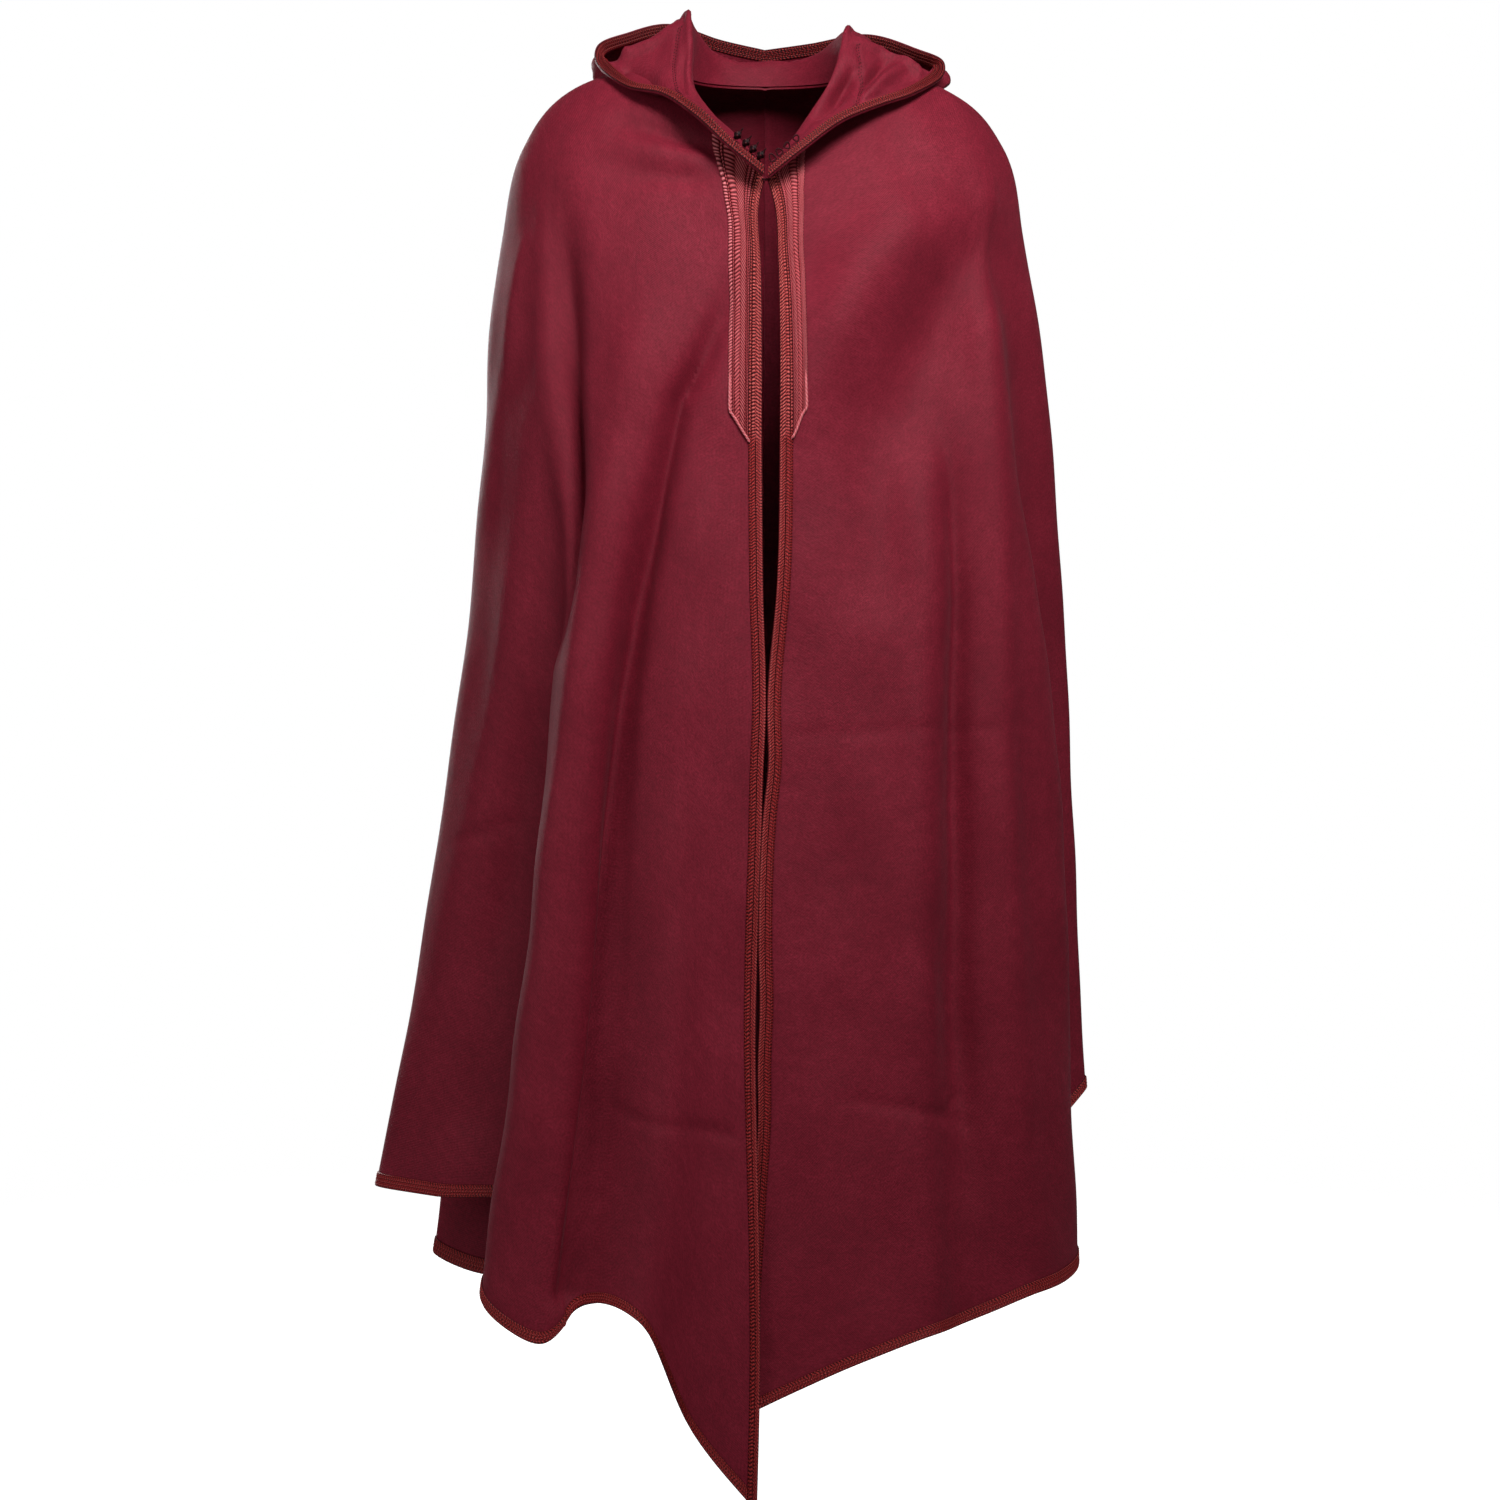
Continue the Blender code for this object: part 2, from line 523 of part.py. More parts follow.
def add_fastenings(side, turns, line, normals):
    """Stand the knotted buttons on the left roll of the neck, and their cord loops on the right one."""
    dark = material("dark_knot_%s" % ("left" if side < 0 else "right"), KNOT_DARK, 0.7)
    for number, turn in enumerate(FASTENING_TURNS, start=1):
        foot = read_line(turns, line, turn)
        up = read_line(turns, normals, turn)
        up /= np.linalg.norm(up)
        along = read_line(turns, line, turn + 1) - foot
        along /= np.linalg.norm(along)
        across = np.cross(up, along)
        across /= np.linalg.norm(across)
        rest = foot + up * (CLOTH / 2 + SEAM_GAP)
        if side < 0:
            add_knot("button_%d" % number, rest + up * BUTTON_RADIUS, up, along, across, dark)
        else:
            add_loop("loop_%d" % number, rest + up * (LOOP_RADIUS + LOOP_CORD_RADIUS), up, across, along,
                     dark)


def tube_faces(rings, sides):
    """Return the faces between rings of points that follow one another."""
    faces = []
    for ring in range(rings - 1):
        for i in range(sides):
            a = ring * sides + i
            b = ring * sides + (i + 1) % sides
            faces.append((a, b, b + sides, a + sides))
    return faces


def add_knot(name, centre, up, along, across, dark):
    """Make one knotted button: a ball that rises to a blunt point."""
    rings = BUTTON_PROFILE[1:-1]
    vertices = []
    for place, width in rings:
        vertices += list(ring_points(centre + up * place * BUTTON_RADIUS, width * BUTTON_RADIUS,
                                     BUTTON_SIDES, along, across))
    low = len(vertices)
    vertices.append(centre + up * BUTTON_PROFILE[0].place * BUTTON_RADIUS)
    vertices.append(centre + up * BUTTON_PROFILE[-1].place * BUTTON_RADIUS)
    faces = tube_faces(len(rings), BUTTON_SIDES)
    top = low - BUTTON_SIDES
    for i in range(BUTTON_SIDES):
        after = (i + 1) % BUTTON_SIDES
        faces += [(low, after, i), (low + 1, top + i, top + after)]
    facing_out(add_object(name, vertices, faces, dark))


def add_loop(name, centre, up, along, across, dark):
    """Make one cord loop: a small ring that stands on the roll."""
    vertices = []
    for turn in np.linspace(0.0, 2 * np.pi, LOOP_STEPS, endpoint=False):
        out = np.cos(turn) * across + np.sin(turn) * up
        vertices += list(ring_points(centre + out * LOOP_RADIUS, LOOP_CORD_RADIUS, LOOP_SIDES, out, along))
    count = len(vertices)
    faces = [tuple(corner % count for corner in face) for face in tube_faces(LOOP_STEPS + 1, LOOP_SIDES)]
    facing_out(add_object(name, vertices, faces, dark))


def facing_out(thing):
    """Turn the faces of a closed object outward."""
    mesh = bmesh.new()
    mesh.from_mesh(thing.data)
    bmesh.ops.recalc_face_normals(mesh, faces=mesh.faces)
    mesh.to_mesh(thing.data)
    mesh.free()


def add_link(outer):
    """Make the thread link that ties the two front edges together below the neck."""
    centre = (outer[LINK_ROW, 0] + outer[LINK_ROW, -1]) / 2
    centre[1] = min(outer[LINK_ROW, :2, 1].min(), outer[LINK_ROW, -2:, 1].min()) - SEAM_GAP - LINK_RADIUS
    vertices = []
    for place, width in LINK_PROFILE:
        middle = centre + np.array([place * LINK_LENGTH, 0.0, 0.0])
        vertices += list(ring_points(middle, width * LINK_RADIUS, LINK_SIDES, np.array([0.0, 1.0, 0.0]),
                                     np.array([0.0, 0.0, 1.0])))
    count = len(vertices)
    faces = [tuple(range(LINK_SIDES)), tuple(range(count - 1, count - 1 - LINK_SIDES, -1))]
    faces += tube_faces(len(LINK_PROFILE), LINK_SIDES)
    facing_out(add_object("neck_link", vertices, faces, material("dark_link", KNOT_DARK, 0.7)))


def build_cloak():
    """Make every piece of the cloak."""
    build_body()
    build_hood()


clear_scene()
build_cloak()
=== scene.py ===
"""Burnous: a long hooded cloak of fulled wine-red wool, worn open, its hood lying back.

Every surface is worked out from the rows and folds that the cloth hangs in, in metres.
"""
from collections import namedtuple

import bpy
import numpy as np
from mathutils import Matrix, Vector


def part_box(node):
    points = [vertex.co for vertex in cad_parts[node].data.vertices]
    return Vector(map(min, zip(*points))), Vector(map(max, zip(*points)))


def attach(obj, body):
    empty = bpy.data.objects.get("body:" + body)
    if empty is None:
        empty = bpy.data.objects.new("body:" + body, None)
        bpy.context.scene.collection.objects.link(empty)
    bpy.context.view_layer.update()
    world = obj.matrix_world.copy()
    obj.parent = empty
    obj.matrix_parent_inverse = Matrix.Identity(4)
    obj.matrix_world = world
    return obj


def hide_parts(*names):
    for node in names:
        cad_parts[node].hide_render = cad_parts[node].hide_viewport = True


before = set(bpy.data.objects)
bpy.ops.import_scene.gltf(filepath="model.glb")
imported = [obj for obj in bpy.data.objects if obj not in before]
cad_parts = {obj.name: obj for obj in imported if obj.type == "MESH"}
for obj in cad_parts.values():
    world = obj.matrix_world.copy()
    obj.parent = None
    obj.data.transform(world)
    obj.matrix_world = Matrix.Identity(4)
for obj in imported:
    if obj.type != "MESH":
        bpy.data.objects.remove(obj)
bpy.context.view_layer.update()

MM = 0.001
CLOTH = 0.002                # thickness of the cloth
SEAM_GAP = 0.0003            # gap between two pieces that are sewn to each other
NECK_GAP = 0.0008            # gap between the hood's foot and the body
EDGE_BRAID_WIDTH = 0.014     # braid down both front edges
HEM_BRAID_WIDTH = 0.012      # braid along the hem
HOOD_BRAID_WIDTH = 0.013     # braid round the hood's opening
CLOTH_LENGTH = 1.24          # from neck to hem, down the cloth

# ---------------------------------------------------------------- how the cloth hangs

# The rows of the body.  share: distance down the cloth as a share of the whole.  z_front, z_side,
# z_back: height of the row there.  left, right, front, back: its reach from the axis.
Ring = namedtuple("Ring", "name share z_front z_side z_back left right front back")
RINGS = [
    Ring("neck",   0.000, -0.050, 0.068, 0.070, 0.080, 0.082, 0.118, 0.080),
    Ring("collar", 0.038, -0.090, 0.074, 0.062, 0.126, 0.128, 0.131, 0.104),
    Ring("slope",  0.085, -0.140, 0.069, 0.032, 0.168, 0.158, 0.144, 0.120),
    Ring("point",  0.125, -0.186, 0.040, -0.006, 0.220, 0.212, 0.155, 0.134),
    Ring("arm",    0.170, -0.238, -0.005, -0.060, 0.251, 0.246, 0.166, 0.146),
    Ring("chest",  0.245, -0.326, -0.095, -0.150, 0.273, 0.267, 0.182, 0.160),
    Ring("waist",  0.440, -0.560, -0.335, -0.390, 0.292, 0.298, 0.222, 0.196),
    Ring("hip",    0.635, -0.800, -0.575, -0.640, 0.322, 0.317, 0.256, 0.226),
    Ring("knee",   0.835, -1.040, -0.820, -0.890, 0.360, 0.328, 0.286, 0.256),
    Ring("hem",    1.000, -1.240, -1.060, -1.130, 0.408, 0.340, 0.308, 0.280),
]
NECK_DIP_POWER = 2.0         # how sharply the rows dip at the front at the neck
ROW_DIP_POWER = 1.7          # and lower down,
DIP_CHANGE_END = 0.2         # from this share on

# The folds, from the front edge round to the middle of the back, on each side.
# neck, chest, hem: degrees from the front at those rows.  reach: share of the row's radius at the
# hem.  start: share of the length where the fold begins.  hem_z: height of the hem there.
FOLD_TURN_SHARES = (0.0, 0.22, 0.60, 1.0)    # where a fold's turns are those of neck, chest and hem
FOLD_GROWTH_POWER = 0.8      # how a fold's reach grows from its start to the hem
HEM_CHANGE_POWER = 2.5       # and how the row's height goes over to the hem's own
Fold = namedtuple("Fold", "name neck chest hem reach start hem_z")
LEFT_FOLDS = [
    Fold("edge",         0,   0,   0,   1.00, 0.00, -1.345),
    Fold("panel",        60,  19,  10,  1.00, 0.50, -1.272),
    Fold("panel_side",   67,  27,  17,  1.03, 0.40, -1.163),
    Fold("valley",       74,  35,  27,  0.95, 0.20, -1.157),
    Fold("bulge",        80,  43,  31,  1.04, 0.10, -1.192),
    Fold("bulge_edge",   86,  53,  43,  1.00, 0.05, -1.155),
    Fold("tuck",         92,  65,  49,  0.74, 0.10, -1.085),
    Fold("side_lobe",    98,  78,  72,  0.88, 0.10, -1.086),
    Fold("side_edge",    105, 90,  88,  1.00, 0.00, -1.089),
    Fold("rear_tuck",    111, 100, 97,  0.62, 0.20, -1.095),
    Fold("rear_front",   116, 107, 103, 0.70, 0.20, -1.195),
    Fold("rear_lobe",    122, 114, 110, 0.94, 0.20, -1.182),
    Fold("back_tuck",    130, 126, 126, 0.80, 0.25, -1.170),
    Fold("back_fold",    141, 140, 140, 1.06, 0.20, -1.190),
    Fold("back_valley",  154, 153, 153, 0.85, 0.25, -1.190),
    Fold("middle_fold",  167, 167, 167, 1.05, 0.20, -1.200),
    Fold("middle",       180, 180, 180, 0.93, 0.30, -1.200),
]
RIGHT_FOLDS = [
    Fold("edge",         0,   0,   0,   1.00, 0.00, -1.256),
    Fold("panel",        60,  22,  14,  1.00, 0.50, -1.208),
    Fold("ridge",        69,  33,  27,  1.04, 0.30, -1.181),
    Fold("valley",       77,  42,  34,  0.98, 0.20, -1.180),
    Fold("bulge",        84,  50,  48,  1.03, 0.10, -1.160),
    Fold("fold_edge",    91,  59,  66,  1.025, 0.00, -1.146),
    Fold("tuck",         97,  70,  78,  0.77, 0.05, -1.090),
    Fold("side_edge",    105, 88,  94,  1.005, 0.00, -0.990),
    Fold("rear_valley",  114, 102, 104, 0.88, 0.20, -1.030),
    Fold("rear_fold",    123, 114, 113, 1.02, 0.20, -1.070),
    Fold("back_tuck",    133, 126, 125, 0.82, 0.25, -1.120),
    Fold("back_fold",    144, 139, 139, 1.05, 0.20, -1.150),
    Fold("back_valley",  156, 152, 152, 0.84, 0.25, -1.170),
    Fold("middle_fold",  168, 167, 167, 1.04, 0.20, -1.190),
    Fold("middle",       180, 180, 180, 0.93, 0.30, -1.200),
]
# Fold places run from 0 at the left front edge, through the middle of the back, to the right one.
MIDDLE = len(LEFT_FOLDS) - 1
LAST = MIDDLE + len(RIGHT_FOLDS) - 1

# The two front edges: x of each at a height, and how far it stands forward of the row.
Edge = namedtuple("Edge", "height left right left_out right_out")
EDGES = [
    Edge(-0.050, -0.0012, 0.0012, 0.000, 0.000),
    Edge(-0.080, -0.0070, 0.0085, 0.000, 0.000),
    Edge(-0.135, -0.0050, 0.0115, 0.000, 0.000),
    Edge(-0.320, -0.0040, 0.0130, 0.000, 0.000),
    Edge(-0.450, -0.0030, 0.0105, 0.000, 0.000),
    Edge(-0.575, -0.0006, 0.0006, 0.000, 0.000),
    Edge(-0.630, -0.0032, 0.0014, 0.000, 0.000),
    Edge(-0.680, -0.0046, -0.0036, 0.000, 0.000),
    Edge(-0.800, -0.0090, -0.0080, 0.000, 0.000),
    Edge(-0.855, -0.0104, -0.0066, 0.001, -0.001),
    Edge(-0.915, -0.0098, -0.0086, 0.003, -0.003),
    Edge(-0.970, -0.0084, -0.0086, 0.005, -0.006),
    Edge(-1.040, -0.0065, -0.0130, 0.007, -0.008),
    Edge(-1.150, -0.0065, -0.0190, 0.007, -0.009),
    Edge(-1.326, -0.0130, -0.0220, 0.007, -0.009),
]

# Width of the braid panels beside the opening, from the front edges, down from the neck.
Panel = namedtuple("Panel", "share left right")
PANEL = [
    Panel(0.000, 0.0980, 0.0720),
    Panel(0.018, 0.0820, 0.0540),
    Panel(0.040, 0.0560, 0.0430),
    Panel(0.065, 0.0460, 0.0400),
    Panel(0.095, 0.0420, 0.0350),
    Panel(0.130, 0.0365, 0.0310),
    Panel(0.216, 0.0345, 0.0285),
    Panel(0.235, 0.0155, 0.0155),
]
BRAID_START = 0.002          # share of the length where the braids begin
BRAID_SHARE_MOST = 0.6       # most of a hood section that its braid takes, at the front corner

# The hood, as sections from the front corner round to the middle of the back.
# turn: degrees from the front.  stand: height of the roll above the neck seam.  lean: how far the
# roll leans out.  pouch_x, y, z: lowest point between the roll and the edge.  x, y, z: the edge.
Slice = namedtuple("Slice", "turn stand lean pouch_x pouch_y pouch_z x y z")
LEFT_HOOD = [
    Slice(2,   0.008, 0.004, 0.003, 0.132, -0.041, 0.003, 0.140, -0.050),
    Slice(25,  0.008, 0.004, 0.037, 0.124, -0.012, 0.041, 0.132, -0.018),
    Slice(45,  0.008, 0.008, 0.067, 0.106, 0.021,  0.074, 0.115, 0.014),
    Slice(60,  0.014, 0.009, 0.096, 0.080, 0.044,  0.105, 0.092, 0.037),
    Slice(75,  0.042, 0.000, 0.132, 0.046, 0.060,  0.142, 0.062, 0.049),
    Slice(90,  0.065, -0.002, 0.154, 0.004, 0.084, 0.173, 0.012, 0.078),
    Slice(105, 0.067, 0.002, 0.158, -0.036, 0.078, 0.176, -0.032, 0.106),
    Slice(125, 0.056, 0.010, 0.152, -0.112, 0.030, 0.147, -0.074, 0.127),
    Slice(145, 0.036, 0.014, 0.125, -0.168, -0.070, 0.100, -0.110, 0.143),
    Slice(163, 0.028, 0.014, 0.066, -0.184, -0.200, 0.048, -0.130, 0.130),
    Slice(180, 0.030, 0.014, 0.000, -0.196, -0.300, 0.000, -0.136, 0.120),
]
RIGHT_HOOD = [
    Slice(2,   0.008, 0.004, 0.003, 0.132, -0.043, 0.003, 0.140, -0.052),
    Slice(25,  0.010, 0.004, 0.036, 0.123, -0.014, 0.040, 0.133, -0.022),
    Slice(45,  0.020, 0.003, 0.072, 0.102, 0.017,  0.079, 0.113, 0.008),
    Slice(60,  0.032, 0.002, 0.106, 0.080, 0.035,  0.114, 0.092, 0.025),
    Slice(75,  0.046, 0.002, 0.138, 0.050, 0.053,  0.150, 0.064, 0.041),
    Slice(90,  0.052, 0.003, 0.163, 0.006, 0.076,  0.181, 0.014, 0.065),
    Slice(105, 0.052, 0.006, 0.168, -0.034, 0.079, 0.187, -0.028, 0.089),
    Slice(125, 0.048, 0.012, 0.158, -0.112, 0.024, 0.162, -0.078, 0.111),
    Slice(145, 0.034, 0.014, 0.127, -0.168, -0.072, 0.108, -0.114, 0.133),
    Slice(163, 0.028, 0.014, 0.066, -0.184, -0.200, 0.050, -0.130, 0.126),
    Slice(180, 0.030, 0.014, 0.000, -0.196, -0.300, 0.000, -0.136, 0.120),
]
ROW_KNOT_POWER = 0.5         # knots of the rows lie at this power of the distances between folds
HOOD_KNOT_POWER = 0.6        # and those of the hood's sections
POUCH_DEPTH = 0.40           # depth of pouch at which the hood has its deepest shape
HOOD_PUFF = 0.030            # how far the hood's outer layer stands off there
POUCH_ACROSS = (0.55, 0.62)  # how far out the inner layer goes half way down, shallow and deep
POUCH_DOWN = (0.66, 0.22)    # and how far down
NECK_STEP = 0.004            # share of the length over which the body's slope at the neck is taken

# Soft creases of the body.  Each runs through its points (x, z in the front view, depth, width, all
# in mm; a ridge is deeper than 0 and a trough less) on the cloth between two fold places.
# wide: width of the crease's right side, seen from the front along its run, as a share of its left.
Crease = namedtuple("Crease", "name first last wide points")
CREASES = [
    Crease("shoulder_pull", 0, 5, 1.0, [(-165, 4, 0, 14), (-145, 11, -5, 12), (-116, 4, -8, 11),
        (-81, -10, -8, 10), (-55, -20, -4, 8)]),
    Crease("shoulder_pull_low", 0, 5, 1.0, [(-185, -26, 0, 14), (-150, -36, -4, 12),
        (-117, -45, -6, 11), (-70, -50, -5, 10), (-48, -51, 0, 8)]),
    Crease("shoulder_roll", 0, 5, 1.0, [(-150, -14, 0, 16), (-110, -18, 4, 13), (-72, -28, 5, 12),
        (-52, -36, 0, 10)]),
    Crease("side_valley", 2.5, 5.6, 0.8, [(-208, -40, 0, 22), (-206, -100, -8, 22),
        (-203, -173, -19, 20), (-199, -273, -29, 17), (-190, -372, -27, 14),
        (-195, -460, -16, 13), (-210, -540, 0, 14)]),
    Crease("chest_fold", 0, 5, 1.2, [(-84, -90, 0, 46), (-112, -184, 9, 38), (-136, -275, 19, 33),
        (-152, -373, 23, 28), (-167, -471, 23, 26), (-178, -569, 23, 25), (-195, -669, 22, 25),
        (-209, -766, 22, 25), (-221, -864, 21, 25), (-235, -960, 19, 25), (-255, -1058, 14, 25),
        (-270, -1150, 8, 24)]),
    Crease("chest_valley", 0, 5, 1.3, [(-30, -140, 0, 10), (-46, -190, -9, 10),
        (-66, -235, -16, 10), (-87, -276, -21, 10), (-109, -374, -25, 11), (-129, -471, -26, 12),
        (-144, -571, -27, 12.5), (-152, -668, -27, 13), (-160, -765, -27, 13.5),
        (-166, -862, -27, 14), (-173, -958, -26, 14.5), (-182, -1055, -23, 15),
        (-193, -1143, -14, 15)]),
    Crease("front_roll", 0, 4, 1.0, [(-28, -205, 0, 18), (-44, -295, 5, 16), (-64, -393, 5, 18),
        (-80, -491, 4, 22), (-92, -609, 3, 26), (-98, -725, 2, 28), (-104, -860, 0, 30)]),
    Crease("side_roll", 5, 9, 1.0, [(-222, -90, 0, 26), (-217, -200, 6, 26), (-229, -321, 9, 24),
        (-240, -431, 9, 24), (-266, -574, 9, 24), (-303, -730, 8, 24), (-336, -887, 6, 26),
        (-358, -1012, 0, 26)]),
    Crease("side_rib", 5, 9, 1.0, [(-246, -90, 0, 7), (-250, -125, 2.5, 8), (-265, -227, 3, 9),
        (-281, -310, 2.5, 10), (-296, -420, 0, 12)]),
    Crease("side_hollow", 5.6, 9, 1.0, [(-226, -560, 0, 16), (-240, -640, -7, 18),
        (-262, -760, -9, 20), (-285, -880, -7, 22), (-300, -1000, -4, 22)]),
    Crease("right_slant", 24, 30, 0.8, [(236, -70, 0, 24), (215, -115, -10, 34),
        (190, -165, -18, 44), (162, -225, -24, 50), (138, -290, -24, 52), (122, -355, -17, 50),
        (112, -430, -8, 46), (106, -500, 0, 44)]),
    Crease("right_chest", 24, 30, 1.0, [(185, -52, 0, 36), (145, -92, 14, 42),
        (100, -145, 21, 46), (66, -205, 19, 45), (38, -262, 11, 40), (24, -320, 0, 36)]),
    Crease("right_roll", 25, 30, 1.0, [(130, -240, 0, 30), (150, -353, 8, 26),
        (154, -473, 12, 24), (150, -569, 13, 24), (148, -667, 13, 24), (148, -765, 10, 26),
        (152, -880, 5, 26), (156, -960, 0, 26)]),
    Crease("right_valley", 24, 30, 1.0, [(176, -250, 0, 16), (189, -353, -10, 14),
        (193, -472, -17, 13), (190, -571, -20, 13), (191, -667, -20, 14), (191, -767, -19, 15),
        (190, -864, -17, 16), (194, -962, -13, 17), (198, -1080, 0, 20)]),
    Crease("right_side_roll", 23, 27, 1.0, [(215, -120, 0, 20), (221, -190, 7, 18),
        (230, -371, 9, 17), (233, -570, 10, 17), (240, -769, 9, 18), (254, -968, 7, 20),
        (268, -1080, 0, 22)]),
    Crease("press_line", 25, 30, 1.0, [(0, -604, 0, 5), (40, -602, -1.4, 4), (100, -600, -1.2, 4),
        (160, -598, -1.8, 4), (215, -600, -1.2, 5), (252, -601, 0, 5)]),
    Crease("press_line_low", 25, 30, 1.0, [(60, -950, 0, 5), (90, -955, -1.6, 5),
        (138, -963, -2.6, 5), (176, -975, -2.2, 5), (192, -958, -1.8, 4), (204, -969, 0, 4)]),
    Crease("press_fork", 25, 30, 1.0, [(150, -966, 0, 4), (186, -982, -2.0, 5),
        (214, -990, 0, 5)]),
    Crease("press_side", 5, 9, 1.0, [(-236, -688, 0, 4), (-262, -699, -2.6, 4),
        (-290, -713, -3.0, 4), (-326, -727, 0, 4)]),
    Crease("press_tick", 2, 5, 1.0, [(-173, -649, 0, 4), (-162, -645, -2.6, 4),
        (-151, -643, 0, 4)]),
    Crease("press_hem", 0, 4.5, 1.0, [(-166, -967, 0, 6), (-130, -973, -1.8, 5),
        (-85, -979, -1.4, 5), (-40, -986, -2.2, 5), (-14, -993, 0, 5)]),
    Crease("front_sway", 25, 30, 1.0, [(40, -420, 0, 34), (60, -560, -4, 36), (70, -760, -5, 38),
        (84, -960, -5, 40), (95, -1120, -2, 40)]),
    Crease("back_roll_left", 12, 16, 1.0, [(-150, -120, 0, 26), (-138, -300, 12, 24),
        (-130, -560, 17, 24), (-140, -860, 14, 26), (-150, -1120, 6, 28)]),
    Crease("back_hollow_left", 11, 16, 1.0, [(-60, -160, 0, 20), (-72, -320, -14, 18),
        (-84, -600, -20, 18), (-92, -900, -18, 20), (-96, -1150, -9, 22)]),
    Crease("back_roll_right", 16, 20, 1.0, [(140, -100, 0, 26), (132, -280, 12, 26),
        (126, -540, 18, 25), (134, -800, 14, 25), (140, -1080, 6, 26)]),
    Crease("back_hollow_right", 16, 21, 1.0, [(58, -190, 0, 18), (66, -360, -15, 18),
        (74, -640, -19, 17), (86, -930, -16, 19), (90, -1150, -8, 20)]),
    Crease("back_press", 12, 20, 1.0, [(-180, -610, 0, 6), (-90, -604, -2.2, 5),
        (10, -600, -1.6, 5), (110, -603, -2.4, 5), (190, -608, 0, 6)]),
    Crease("back_seam", 15.6, 16.4, 1.0, [(0, 90, -1.2, 3.5), (0, -1250, -1.2, 3.5)]),
]

